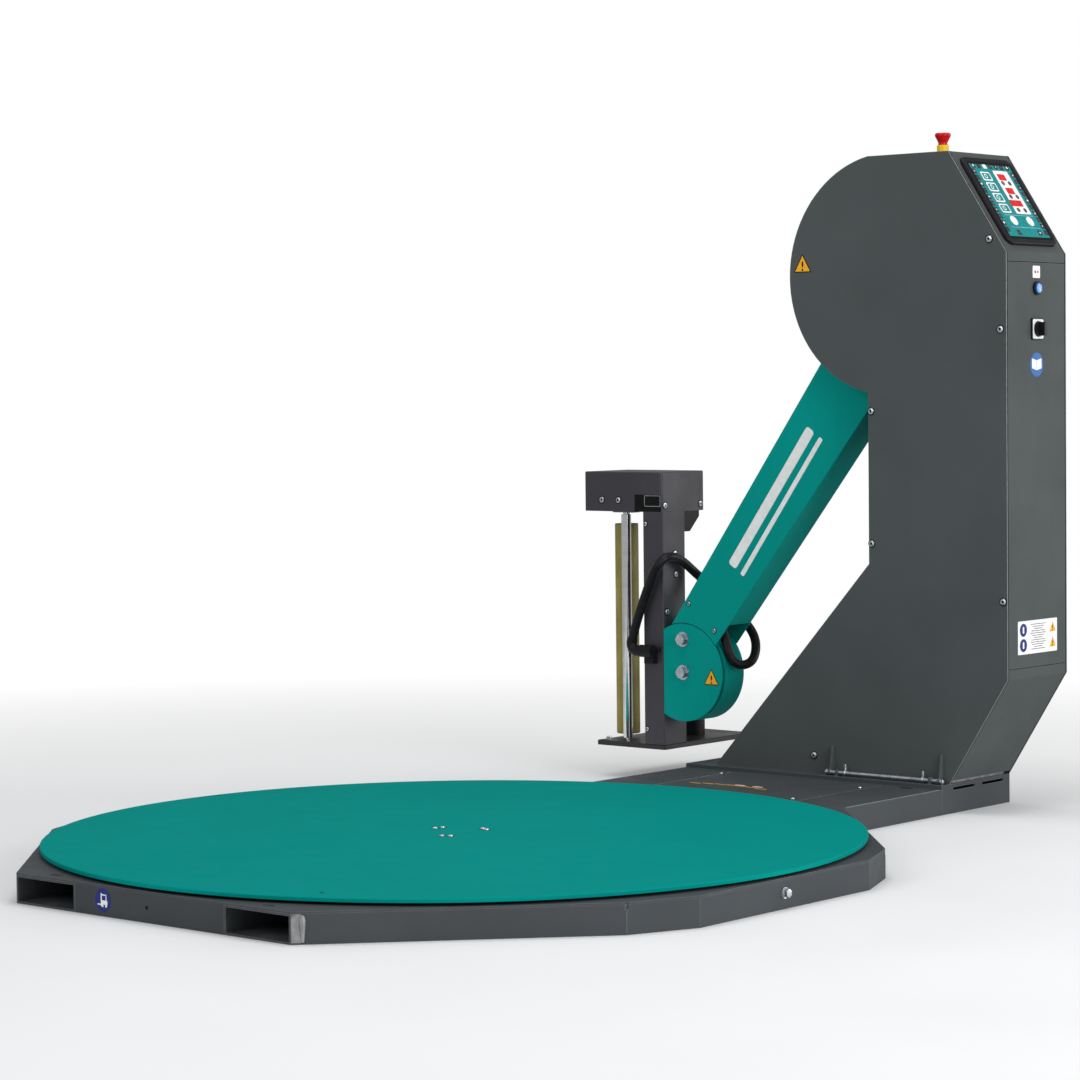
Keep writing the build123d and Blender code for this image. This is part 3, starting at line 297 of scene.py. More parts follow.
SIGN_YELLOW = moulding(
    "sign_yellow", colour(240, 168, 30), colour(248, 180, 38), 0.3, 0.42)
SIGN_BLACK = moulding(
    "sign_black", colour(16, 14, 14), colour(26, 24, 22), 0.3, 0.42)
DISPLAY_RED = moulding(
    "display_red", colour(206, 24, 28), colour(228, 34, 36), 0.12, 0.2)
PRINT_GREY = moulding(
    "print_grey", colour(70, 64, 74), colour(104, 98, 106), 0.25, 0.35)
DARK_GAP = moulding(
    "dark_gap", colour(8, 8, 9), colour(14, 14, 15), 0.7, 0.9)
# Light grey: the window insert's rim and the bearing plate, and the strips of painted highlight
# along panel, tray and lid edges.
LIGHT_GREY_AND_EDGE_HIGHLIGHT = moulding(
    "light_grey_and_edge_highlight", colour(126, 130, 132), colour(146, 149, 151), 0.5, 0.62)
ICON_GREY = moulding(
    "icon_grey", colour(40, 44, 52), colour(58, 60, 68), 0.25, 0.35)


def ground_rubber():
    """The roller's olive polyurethane, ground in fine rings round its axis."""
    material = blank("ground_rubber", Subsurface_Weight=0.08, Subsurface_Scale=0.004)
    tint(material, clouds(material, 0.05, 5.0, (1, 1, 0.5)),
         colour(132, 122, 52), colour(158, 148, 72))
    gloss(material, clouds(material, 0.02, 5.0), 0.42, 0.6)
    relief(material, clouds(material, 0.004, 3.0, (0.2, 0.2, 8)), 0.0001)
    return material


GROUND_RUBBER = ground_rubber()

SLOT_FINISHES = {
    "frame_grey": FRAME_COAT,
    "steel_raw": OILED_STEEL,
    "zinc": ZINC_PLATE,
    "wheel_plastic": WHEEL_NYLON,
    "teal_paint": TEAL_COAT_PAINTED_LIGHT,
    "panel_grey": PANEL_COAT,
    "carriage_grey": CARRIAGE_COAT,
    "black_plastic": BLACK_MOULDING,
    "console_teal": CONSOLE_FILM,
    "stop_red": STOP_RED,
    "stop_yellow": STOP_YELLOW,
    "reset_blue": LENS_BLUE,
    "switch_white": PLATE_WHITE,
    "motor_grey": CASTING_GREY,
    "electric_grey": DRIVE_GREY,
    "roller_rubber": GROUND_RUBBER,
    "roller_chrome": CHROME,
}
# Pieces whose finish differs from the rest of their slot: the disc keeps the plain teal, while the
# rest of the teal slot gets it with painted light; the carriage's plate has a paint of its own,
# and the floor parts are painted with the frame.
PAINTED_NODES = {
    "turntable_disc": DISC_COAT,
    "carriage_base": PLATE_COAT,
    "fork_tubes": FRAME_COAT,
    "frame_bars": FRAME_COAT,
    "wheel_ears": FRAME_COAT,
    "switch_plate": BLACK_MOULDING,
}


def finish_cad_nodes():
    for part in frame["record"]["subparts"]:
        name = part["node"]
        finish = PAINTED_NODES.get(name, SLOT_FINISHES[part["material_slot"]])
        for material_slot in frame["nodes"][name].material_slots:
            material_slot.material = finish


# ---------------------------------------------------------------- the bench: shaping tools
SHARP_ANGLE = math.radians(40)
STRAIGHT = 0.9                     # a direction this close to upright counts as upright
HAIR = 1e-6


def deselect():
    bpy.ops.object.select_all(action="DESELECT")


def pick(piece):
    deselect()
    piece.select_set(True)
    bpy.context.view_layer.objects.active = piece


def named(name, *finishes):
    piece = bpy.context.object
    piece.name = name
    piece.data.name = name
    for finish in finishes:
        piece.data.materials.append(finish)
    return piece


def blank_block(name, low, high, *finishes):
    deselect()
    middle = [(a + b) / 2 for a, b in zip(low, high)]
    bpy.ops.mesh.primitive_cube_add(size=1, location=middle)
    piece = named(name, *finishes)
    piece.scale = [b - a for a, b in zip(low, high)]
    bpy.ops.object.transform_apply(location=True, rotation=True, scale=True)
    return piece


def blank_disc(name, radius, low, high, *finishes, sides=40, middle=(0, 0)):
    """A round or many-sided blank standing on the bench's XY plane."""
    deselect()
    bpy.ops.mesh.primitive_cylinder_add(
        vertices=sides, radius=radius, depth=high - low,
        location=(*middle, (low + high) / 2))
    piece = named(name, *finishes)
    bpy.ops.object.transform_apply(location=True, rotation=True, scale=True)
    return piece


def select_whole(piece):
    """Opens a piece for editing with all of it selected."""
    pick(piece)
    bpy.ops.object.mode_set(mode="EDIT")
    bpy.ops.mesh.select_all(action="SELECT")


def select_faces(piece, wanted):
    """Opens a piece for editing with the wanted faces selected."""
    pick(piece)
    bpy.ops.object.mode_set(mode="EDIT")
    bpy.ops.mesh.select_mode(type="FACE")
    bpy.ops.mesh.select_all(action="DESELECT")
    bpy.ops.object.mode_set(mode="OBJECT")
    for face in piece.data.polygons:
        face.select = bool(wanted(face))
    bpy.ops.object.mode_set(mode="EDIT")


def select_edges(piece, wanted):
    """Opens a piece for editing with the wanted edges selected, each given as its two ends."""
    pick(piece)
    bpy.ops.object.mode_set(mode="EDIT")
    bpy.ops.mesh.select_mode(type="EDGE")
    bpy.ops.mesh.select_all(action="DESELECT")
    bpy.ops.object.mode_set(mode="OBJECT")
    points = piece.data.vertices
    for edge in piece.data.edges:
        first, second = (points[i].co for i in edge.vertices)
        edge.select = bool(wanted(first, second))
    bpy.ops.object.mode_set(mode="EDIT")


def close_edit():
    bpy.ops.object.mode_set(mode="OBJECT")


def is_top(face):
    return face.normal.z > STRAIGHT


def stands(first, second):
    """True for an edge that runs up and down."""
    return (first - second).normalized().z ** 2 > STRAIGHT


def inset_top(piece, thickness, lift, finish=None):
    """Insets the top face and moves the inner face up or down by lift."""
    top = max(point.co.z for point in piece.data.vertices)
    select_faces(piece, lambda face: is_top(face) and face.center.z > top - HAIR)
    bpy.ops.mesh.inset(thickness=thickness, depth=0)
    bpy.ops.mesh.extrude_region_move(TRANSFORM_OT_translate={"value": (0, 0, lift)})
    if finish is not None:
        piece.active_material_index = finish
        bpy.ops.object.material_slot_assign()
    close_edit()


def round_corners(piece, radius):
    """Rounds the upright corner edges of a flat plate."""
    select_edges(piece, stands)
    bpy.ops.mesh.bevel(offset=radius, segments=5, affect="EDGES")
    close_edit()


def soften(piece, width):
    """Breaks every sharp edge, then smooths what is round."""
    pick(piece)
    bevel = piece.modifiers.new("bevel", "BEVEL")
    bevel.width = width
    bevel.segments = 2
    bevel.limit_method = "ANGLE"
    bevel.angle_limit = SHARP_ANGLE
    bpy.ops.object.modifier_apply(modifier="bevel")
    bpy.ops.object.shade_smooth_by_angle(angle=SHARP_ANGLE)


def cut(piece, tool):
    """Cuts the tool's shape out of the piece and throws the tool away."""
    pick(piece)
    boolean = piece.modifiers.new("cut", "BOOLEAN")
    boolean.operation = "DIFFERENCE"
    boolean.object = tool
    bpy.ops.object.modifier_apply(modifier="cut")
    bpy.data.objects.remove(tool)


def weld(name, pieces):
    """Joins pieces into one, keeping each one's finish."""
    deselect()
    for piece in pieces:
        piece.select_set(True)
    bpy.context.view_layer.objects.active = pieces[0]
    bpy.ops.object.join()
    joined = bpy.context.object
    joined.name = name
    joined.data.name = name
    return joined


def facing(outward, up=UP):
    """The turn that stands a bench piece on a wall: its Z outward and its Y towards up."""
    z = outward.normalized()
    x = up.cross(z).normalized()
    return Matrix((x, z.cross(x), z)).transposed().to_4x4()


def settle(piece, turn):
    """Moves a piece by a turn and a shift, and leaves its object at the origin."""
    pick(piece)
    piece.matrix_world = turn
    bpy.ops.object.transform_apply(location=True, rotation=True, scale=True)


def seat(piece, body):
    """A piece made where it belongs only needs its body."""
    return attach(piece, body)


def fix(piece, place, outward, body, up=UP):
    """Moves a finished bench piece to its place and lets it ride on its body."""
    settle(piece, Matrix.Translation(place) @ facing(outward, up))
    return seat(piece, body)


def copy_of(model, name):
    copy = model.copy()
    copy.data = model.data.copy()
    copy.name = name
    copy.data.name = name
    bpy.context.scene.collection.objects.link(copy)
    return copy


# ---------------------------------------------------------------- fasteners
WASHER_THICK = 0.0016


def model_button_screw(head=0.0072, height=0.0036):
    """A domed screw head with a hexagon socket, on a dark ring."""
    screw = blank_disc("screw_model", head, 0, height * 0.45, ZINC_PLATE, sides=32)
    inset_top(screw, head * 0.14, height * 0.3)
    inset_top(screw, head * 0.22, height * 0.25)
    socket = blank_disc("socket_tool", head * 0.5, height * 0.3, height * 2, sides=6)
    cut(screw, socket)
    soften(screw, head * 0.03)
    ring = blank_disc("ring_model", head * 1.32, 0, height * 0.2, DARK_GAP, sides=32)
    inset_top(ring, head * 0.2, height * 0.08)
    soften(ring, head * 0.03)
    # A dark hexagon fills the socket's floor: painted shade in the socket.
    hollow = blank_disc("socket_floor", head * 0.48, height * 0.1, height * 0.36,
                        DARK_GAP, sides=6)
    soften(hollow, head * 0.02)
    return weld("screw_model", [screw, ring, hollow])


def model_hex_bolt(across, height):
    """A hexagon head on a washer, with its corners turned down."""
    corner_radius = across / 2 / math.cos(math.pi / 6)
    head = blank_disc("bolt_model", corner_radius, WASHER_THICK, WASHER_THICK + height,
                      ZINC_PLATE, sides=6)
    inset_top(head, across * 0.1, height * 0.1)
    soften(head, across * 0.03)
    washer = blank_disc("washer_model", across * 0.72, 0, WASHER_THICK, ZINC_PLATE, sides=36)
    inset_top(washer, across * 0.06, -0.0002)
    soften(washer, 0.0003)
    return weld("bolt_model", [head, washer])


def fasten(model, name, places, outward, body, up=UP):
    """Sets a numbered copy of a fastener at each place."""
    made = []
    for number, place in enumerate(places, 1):
        copy = copy_of(model, f"{name}_{number}")
        made.append(fix(copy, place, outward, body, up))
    return made


# ---------------------------------------------------------------- signs and films
FILM = 0.0004                      # how far a film stands off its panel
SUNK = -0.0002                     # how far its back reaches into the paint
PRINT = FILM + 0.0002              # the top of a figure printed on the film
RAISED = 0.00005                   # the step of an inset face
LABEL_LINES = (0.062, 0.048, 0.034, 0.056)


def tile(name, width, height, finish, middle=(0, 0), corner=0.0, low=SUNK, high=FILM):
    """A flat film or plate on the bench, with rounded corners or softened edges."""
    x, y = middle
    low_corner = (x - width / 2, y - height / 2, low)
    piece = blank_block(name, low_corner, (x + width / 2, y + height / 2, high), finish)
    if corner:
        round_corners(piece, corner)
    else:
        soften(piece, min(width, height, high - low) * 0.2)
    return piece


def round_film(name, radius, finish, middle=(0, 0), low=SUNK, high=FILM, sides=48):
    piece = blank_disc(name, radius, low, high, finish, sides=sides, middle=middle)
    inset_top(piece, radius * 0.04, (high - low) * 0.05)
    return piece


def triangle_sign(name, side, middle=(0, 0)):
    """A yellow triangle with a black rim and a plain exclamation mark."""
    reach = side / math.sqrt(3)
    plate = blank_disc(name, reach, SUNK, FILM, SIGN_BLACK, SIGN_YELLOW, sides=3, middle=middle)
    round_corners(plate, side * 0.05)
    inset_top(plate, side * 0.045, 0.0001, finish=1)
    x, y = middle
    top = FILM + 0.0003
    bar_y, dot_y = y + side * 0.09, y - side * 0.17
    bar = blank_disc("mark_bar", side * 0.05, FILM, top, SIGN_BLACK, sides=16, middle=(x, bar_y))
    select_whole(bar)
    bpy.ops.transform.resize(value=(1, 3.0, 1), center_override=(x, bar_y, 0))
    close_edit()
    dot = blank_disc("mark_dot", side * 0.052, FILM, top, SIGN_BLACK, sides=16, middle=(x, dot_y))
    for piece in (bar, dot):
        inset_top(piece, side * 0.008, RAISED)
    return weld(name, [plate, bar, dot])


def small_label():
    """A white label with two small round marks, above the reset button."""
    plate = tile("reset_label", 0.030, 0.027, SIGN_WHITE, corner=0.003)
    inset_top(plate, 0.001, 0.0001)
    marks = [plate]
    for x, finish in ((-0.005, SIGN_BLACK), (0.006, STOP_RED)):
        marks.append(round_film("label_mark", 0.0034, finish, (x, 0), FILM, PRINT, 20))
    return weld("reset_label", marks)


def manual_sign():
    """A blue disc with a plain open book."""
    pieces = [round_film("manual_sign", 0.027, SIGN_BLUE)]
    for side in (-1, 1):
        page = blank_block("page", (0.0006, -0.012, FILM), (0.0195, 0.010, PRINT), SIGN_WHITE)
        select_edges(page, lambda first, second: first.x > 0.01 and second.x > 0.01)
        bpy.ops.transform.translate(value=(0, 0.004, 0))
        close_edit()
        if side < 0:
            select_whole(page)
            bpy.ops.transform.resize(value=(-1, 1, 1), center_override=(0, 0, 0))
            bpy.ops.mesh.normals_make_consistent(inside=False)
            close_edit()
        inset_top(page, 0.0012, RAISED)
        pieces.append(page)
    return weld("manual_sign", pieces)


def safety_label():
    """A white label: two navy discs, two yellow triangles, and plain grey lines."""
    plate = tile("safety_label", 0.162, 0.074, SIGN_WHITE, corner=0.002)
    inset_top(plate, 0.0012, RAISED)
    pieces = [plate]
    for y in (-0.017, 0.017):
        disc_middle = (-0.059, y)
        pieces.append(round_film("label_disc", 0.0145, SIGN_NAVY, disc_middle, FILM, PRINT))
        pieces.append(tile("label_figure", 0.006, 0.015, SIGN_WHITE, disc_middle, 0.0025,
                           FILM + 0.0001, FILM + 0.0004))
        pieces.append(triangle_sign("label_triangle", 0.029, (0.062, y - 0.002)))
    for row in range(12):
        y = 0.028 - row * 0.005
        reach = LABEL_LINES[row % len(LABEL_LINES)]
        pieces.append(tile("label_line", reach, 0.0014, PRINT_GREY, (0.002, y), 0, FILM, PRINT))
    return weld("safety_label", pieces)


def forklift_sign():
    """A blue disc with a plain lift truck: mast, cab, body, wheels and forks."""
    pieces = [round_film("forklift_sign", 0.0215, SIGN_NAVY)]
    parts = [
        ((0.003, 0.024), (-0.004, 0.001)),      # mast
        ((0.013, 0.0022), (0.004, 0.010)),      # roof
        ((0.0022, 0.012), (0.009, 0.005)),      # cab post
        ((0.015, 0.008), (0.005, -0.004)),      # body
        ((0.009, 0.0022), (-0.010, -0.008)),    # forks
    ]
    for (wide, tall), middle in parts:
        pieces.append(tile("truck_part", wide, tall, SIGN_WHITE, middle, 0, FILM, PRINT))
    for x in (-0.001, 0.009):
        pieces.append(round_film("truck_wheel", 0.0028, SIGN_WHITE, (x, -0.010),
                                 FILM, FILM + 0.0003, 20))
    return weld("forklift_sign", pieces)


def hole_plug(name, radius):
    """A small dark hole: a sunk ring that reads as a drilled edge."""
    ring = blank_disc(name, radius, SUNK, 0.00015, DARK_GAP, sides=28)
    inset_top(ring, radius * 0.25, -0.00012)
    return ring


# ---------------------------------------------------------------- column
front_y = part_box("front_panel")[0].y
back_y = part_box("back_panel")[1].y
door_low, door_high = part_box("rear_door")
door_x = door_high.x
door_y = (door_low.y + door_high.y) / 2
PANEL_SCREWS = [
    (0.471, 1.275), (0.499, 1.077), (0.155, 0.899), (0.155, 0.599), (0.504, 0.479),
    (-0.010, 0.106),
]
COLUMN_EDGE = [
    (0.147, 1.473), (0.365, 1.473), (0.514, 1.246), (0.514, 0.307), (0.361, 0.066),
]
# The painted highlight strips along the panel edges and the dark seams: how deep in and how wide.
EDGE_HIGHLIGHT_DEPTH, EDGE_HIGHLIGHT_WIDTH = 0.0013, 0.0022
SEAM_DEPTH, SEAM_WIDTH = 0.0042, 0.0030
RESET_LABEL_Z = 1.204
MANUAL_SIGN_Z = 0.999
SAFETY_LABEL_Z = 0.396
HEAD_TRIANGLE_X, HEAD_TRIANGLE_Z = -0.033, 1.232


def add_panel_screws():
    screw = model_button_screw()
    places = [(x, front_y, z) for x, z in PANEL_SCREWS]
    heads = fasten(screw, "panel_screw_front", places, FORWARD, "column")
    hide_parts("panel_screws")
    places = [(x, back_y, z) for x, z in PANEL_SCREWS]
    fasten(screw, "panel_screw_back", places, BACKWARD, "column")
    bpy.data.objects.remove(screw)


def seam_strip(name, first, second, y, width, finish):
    """One straight strip along the outline shared by a side panel and the wrapped skin."""
    (x1, z1), (x2, z2) = first, second
    run = Vector((x2 - x1, 0, z2 - z1))
    outward = Vector((run.z, 0, -run.x)).normalized() * -1
    strip = tile(name, run.length, width, finish, low=-0.0004, high=0.0003)
    along = run.normalized()
    turn = Matrix((along, outward.cross(along), outward)).transposed().to_4x4()
    middle = Vector(((x1 + x2) / 2, y, (z1 + z2) / 2))
    settle(strip, Matrix.Translation(middle) @ turn)
    seat(strip, "column")


def add_seams():
    """Painted highlights along the panels' edges, and the dark joint lines behind them."""
    for side, edge_y, inward in (("front", front_y, 1), ("back", back_y, -1)):
        for number, ends in enumerate(zip(COLUMN_EDGE, COLUMN_EDGE[1:]), 1):
            seam_strip(f"cut_edge_{side}_{number}", *ends,
                       edge_y + EDGE_HIGHLIGHT_DEPTH * inward, EDGE_HIGHLIGHT_WIDTH, LIGHT_GREY_AND_EDGE_HIGHLIGHT)
            seam_strip(f"seam_{side}_{number}", *ends,
                       edge_y + SEAM_DEPTH * inward, SEAM_WIDTH, DARK_GAP)


def add_column_signs():
    fix(small_label(), (door_x, door_y, RESET_LABEL_Z), RIGHT, "column")
    fix(manual_sign(), (door_x, door_y, MANUAL_SIGN_Z), RIGHT, "column")
    fix(safety_label(), (door_x, door_y, SAFETY_LABEL_Z), RIGHT, "column")
    sign = triangle_sign("head_triangle", 0.049)
    place = (HEAD_TRIANGLE_X, front_y, HEAD_TRIANGLE_Z)
    fix(sign, place, FORWARD, "column")


def add_switch_face():
    """The switch's white face with its centre dial ring, and the reset lens's inner ring."""
    plate_back, plate_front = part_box("switch_plate")
    face = tile("switch_face", 0.043, 0.043, PLATE_WHITE, corner=0.004, high=0.0008)
    hole = blank_disc("face_hole", 0.0175, -0.001, 0.002, sides=48)
    cut(face, hole)
    soften(face, 0.0001)
    switch_z = (plate_back.z + plate_front.z) / 2
    fix(face, (plate_front.x, door_y, switch_z), RIGHT, "column")
    lens_low, lens_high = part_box("reset_button")
    ring = blank_disc("reset_lens_ring", 0.0062, -0.0004, 0.0005, LENS_PALE, sides=36)
    inset_top(ring, 0.0016, -0.0003)
    soften(ring, 0.0001)
    lens_z = (lens_low.z + lens_high.z) / 2
    fix(ring, (lens_high.x, door_y, lens_z), RIGHT, "reset_button")


# ---------------------------------------------------------------- console
film_low, film_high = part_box("console_panel")
CONSOLE_OUT = Vector((0.8359, 0, 0.5488))
CONSOLE_UP = Vector((-0.5488, 0, 0.8359))
FILM_TOP = 0.00075                 # from the film's middle up to its face
WINDOW_WIDTH = 0.181
WINDOW_LENGTH = 0.211

# Places on the film are shares of its width, from the left, and of its length, from the top.
DISPLAYS = [(0.635, 0.190, 0.030), (0.646, 0.367, 0.030), (0.620, 0.528, 0.048)]
SMALL_KEYS = [(across, 0.266 + 0.175 * row) for row in range(3) for across in (0.585, 0.735)]
ICON_KEYS = [0.190 + 0.138 * row for row in range(4)]
ROUND_KEYS = [(0.335, 0.760), (0.700, 0.760)]
LINES = (0.69, 0.845)
ICONS = (
    [(0.075, 0.13 + 0.083 * k) for k in range(10)]
    + [(0.925, 0.15 + 0.083 * k) for k in range(10)]
    + [(0.12 + 0.127 * k, 0.055) for k in range(7)]
    + [(0.30, 0.915), (0.78, 0.905)])
WHITE_ICON = 22


def at_film(across, down):
    """A place on the console's film, as shares of its width and length."""
    return ((across - 0.5) * WINDOW_WIDTH, (0.5 - down) * WINDOW_LENGTH)


def console_tile(name, across, down, width, height, finish, corner, level):
    """A printed tile on the film; a higher level lies on top of a lower one."""
    face = FILM_TOP + 0.0001 * level
    return tile(name, width, height, finish, at_film(across, down), corner,
                face - 0.0002, face + 0.0002)


def console_key(name, radius, finish, across, down, low, high, sides=48):
    """A round key or mark on the film, from low to high above its face."""
    return round_film(name, radius, finish, at_film(across, down),
                      FILM_TOP + low, FILM_TOP + high, sides)


def fix_console(pieces, name):
    """Lays finished console pieces on the sloping face."""
    middle = (film_low + film_high) / 2
    piece = weld(name, pieces)
    return fix(piece, middle, CONSOLE_OUT, "column", CONSOLE_UP)


def add_console():
    displays = []
    for across, down, width in DISPLAYS:
        display = console_tile("display", across, down, width, 0.017, DISPLAY_RED, 0.001, 4)
        inset_top(display, 0.0012, -0.0001)
        displays.append(display)
    fix_console(displays, "console_displays")

    field = console_tile("console_field", 0.665, 0.385, 0.060, 0.118, SIGN_WHITE, 0.003, 1)
    fix_console([field], "console_field")

    keys = []
    for across, down in SMALL_KEYS:
        key = console_key("key", 0.0062, PRINT_GREY, across, down, 0.0003, 0.0006, 28)
        inset_top(key, 0.0014, 0.0001)
        keys.append(key)
    fix_console(keys, "console_small_keys")

    keys = []
    for down in ICON_KEYS:
        key = console_tile("key", 0.29, down, 0.037, 0.024, SIGN_WHITE, 0.004, 2)
        inset_top(key, 0.0012, RAISED)
        symbol = console_tile("symbol", 0.29, down, 0.030, 0.017, CONSOLE_FILM, 0.003, 4)
        inset_top(symbol, 0.001, 0.0001)
        ring = console_key("ring", 0.0062, SIGN_WHITE, 0.275, down, 0.0004, 0.0008, 24)
        dot = console_key("dot", 0.0038, CONSOLE_FILM, 0.275, down, 0.0006, 0.0010, 20)
        keys += [key, symbol, ring, dot]
    fix_console(keys, "console_icon_keys")

    keys = []
    for across, down in ROUND_KEYS:
        key = console_key("key", 0.0125, SIGN_WHITE, across, down, 0, 0.0006)
        inset_top(key, 0.0012, 0.0001)
        keys.append(key)
    fix_console(keys, "console_round_keys")

    border = console_tile("console_border", 0.5, 0.5, WINDOW_WIDTH - 0.001, WINDOW_LENGTH - 0.001,
                          DARK_GAP, 0.012, 3)
    cut(border, blank_block("border_opening", (-0.0835, -0.0985, -0.01), (0.0835, 0.0985, 0.01)))
    fix_console([border], "console_border")

    lines = [console_tile("line", 0.52, down, 0.118, 0.001, LENS_PALE, 0, 1) for down in LINES]
    fix_console(lines, "console_lines")

    icons = []
    for number, (across, down) in enumerate(ICONS):
        finish = SIGN_WHITE if number == WHITE_ICON else ICON_GREY
        icon = console_tile("icon", across, down, 0.0140, 0.0135, finish, 0.001, 1)
        inset_top(icon, 0.001, 0.0001)
        mark_finish = PRINT_GREY if number % 2 else SIGN_WHITE
        mark = console_key("mark", 0.0018 + 0.0006 * (number % 3), mark_finish, across, down,
                           0.0002, 0.0006, 14)
        icons += [icon, mark]
    fix_console(icons, "console_icons")


# ---------------------------------------------------------------- hinge
CLIP_PLACES = (0.088, 0.300)
CLIP_HALF = 0.0025


def add_hinge_clips():
    """Zinc clips that keep the hinge rod in place, and a bolt in each of its ends."""
    rod_low, rod_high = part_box("hinge_rod")
    rod_y = (rod_low.y + rod_high.y) / 2
    rod_z = (rod_low.z + rod_high.z) / 2
    radius = (rod_high.z - rod_low.z) / 2
    for number, x in enumerate(CLIP_PLACES, 1):
        clip = blank_disc("clip", radius * 1.34, -CLIP_HALF, CLIP_HALF, ZINC_PLATE, sides=28)
        cut(clip, blank_disc("clip_bore", radius, -0.01, 0.01, sides=28))
        soften(clip, 0.0003)
        ear = blank_disc("clip_ear", 0.0030, 0, 0.014, ZINC_PLATE, sides=20)
        inset_top(ear, 0.0009, 0.0008)
        settle(ear, Matrix.Translation((0, radius * 1.15, 0))
               @ Matrix.Rotation(-math.pi / 2, 4, "X"))
        clip = weld(f"hinge_clip_{number}", [clip, ear])
        fix(clip, (x, rod_y, rod_z), RIGHT, "column")
    bolt = model_hex_bolt(0.010, 0.004)
    fasten(bolt, "hinge_end_right", [(rod_high.x, rod_y, rod_z)], RIGHT, "base")
    fasten(bolt, "hinge_end_left", [(rod_low.x, rod_y, rod_z)], -RIGHT, "base")
    bpy.data.objects.remove(bolt)


# ---------------------------------------------------------------- frame, tray and disc
tray_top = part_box("extension_tray")[1].z
frame_low, frame_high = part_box("table_frame")
disc_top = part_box("turntable_disc")[1].z
TRAY_SCREWS = [(-0.214, 1.153), (0.187, 0.886), (0.198, 1.125), (-0.187, 0.886)]
HUB_SCREW_RADIUS = 0.065
HUB_SCREW_ANGLES = [58, 74, 156, 172, -72, -56]
RIM_HOLES = [(-0.801, 0.105), (0.325, -0.707)]
SIDE_BOLT_Y, SIDE_BOLT_Z = -0.009, 0.030
FORKLIFT_SIGN_X, FORKLIFT_SIGN_Z = -0.122, 0.030
SIDE_HOLE_X, SIDE_HOLE_Z = -0.003, 0.028
BEAD_RADIUS = 0.0032
BEAD_RIPPLES = 14
BEAD_SWELL = 1.25
TRAY_EDGE_Y = 1.022
LID_SEAM_Y, LID_SEAM_LENGTH = 1.020, 0.335


def add_tray_fittings():
    screw = model_button_screw(0.0055, 0.003)
    places = [(x, y, tray_top) for x, y in TRAY_SCREWS]
    fasten(screw, "tray_screw", places, UP, "base", up=BACKWARD)
    bpy.data.objects.remove(screw)
    slot = tile("tray_slot", 0.034, 0.010, DARK_GAP, corner=0.0045)
    inset_top(slot, 0.001, -0.0001)
    fix(slot, (0.279, 1.188, tray_top), UP, "base", up=BACKWARD)
    pieces = []
    for k in range(7):
        place = (-0.14 + 0.031 * k, 0.0016 * k * (6 - k))
        pieces.append(tile("dash", 0.030, 0.0045, SIGN_YELLOW, place))
    for x in (-0.03, 0.02):
        pieces.append(tile("patch", 0.028, 0.006, SIGN_WHITE, (x, 0.024), 0.002))
        pieces.append(tile("patch", 0.012, 0.006, STOP_RED, (x - 0.004, 0.030), 0.002))
    guide = weld("tray_guide_line", pieces)
    fix(guide, (-0.02, 0.985, tray_top), UP, "base", up=BACKWARD)


def add_frame_fittings():
    place = (FORKLIFT_SIGN_X, frame_low.y, FORKLIFT_SIGN_Z)
    fix(forklift_sign(), place, FORWARD, "base")
    hole = hole_plug("fork_side_hole", 0.0038)
    fix(hole, (SIDE_HOLE_X, frame_low.y, SIDE_HOLE_Z), FORWARD, "base")
    bolt = model_hex_bolt(0.015, 0.009)
    for name, x, outward in (("right", frame_high.x, RIGHT), ("left", frame_low.x, -RIGHT)):
        fasten(bolt, f"side_bolt_{name}", [(x, SIDE_BOLT_Y, SIDE_BOLT_Z)], outward, "base")
    bpy.data.objects.remove(bolt)


def weld_bead(name, place, height):
    """A rippled upright weld bead with unpainted metal showing."""
    bead = blank_disc(name, BEAD_RADIUS, 0, height, BARE_WELD, sides=12)
    for k in range(1, BEAD_RIPPLES):
        level = height * k / BEAD_RIPPLES
        select_whole(bead)
        bpy.ops.mesh.bisect(plane_co=(0, 0, level), plane_no=(0, 0, 1))
        close_edit()
        if k % 2:
            select_edges(bead, lambda a, b: abs(a.z - level) < 1e-5 and abs(b.z - level) < 1e-5)
            bpy.ops.transform.resize(value=(BEAD_SWELL, BEAD_SWELL, 1),
                                     center_override=(0, 0, level))
            close_edit()
    pick(bead)
    bpy.ops.object.shade_smooth_by_angle(angle=math.radians(60))
    settle(bead, Matrix.Translation(place))
    seat(bead, "base")


def add_fork_edge():
    """The fork tube's unpainted end wall on the corner face, with the weld beside it."""
    fork_corner = Vector((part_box("fork_tubes")[1].x, frame_low.y, 0))
    along = Vector((0.684, 0.730, 0)).normalized()       # the corner face seen from above
    outward = Vector((along.y, -along.x, 0))
    lip = tile("fork_lip", 0.017, 0.051, BARE_WELD, corner=0.0012, high=0.0006)
    fix(lip, fork_corner + along * 0.0095 + UP * 0.0285, outward, "base")
    foot = fork_corner + along * 0.0205 - outward * 0.0012 + UP * 0.004
    weld_bead("fork_weld", foot, 0.048)


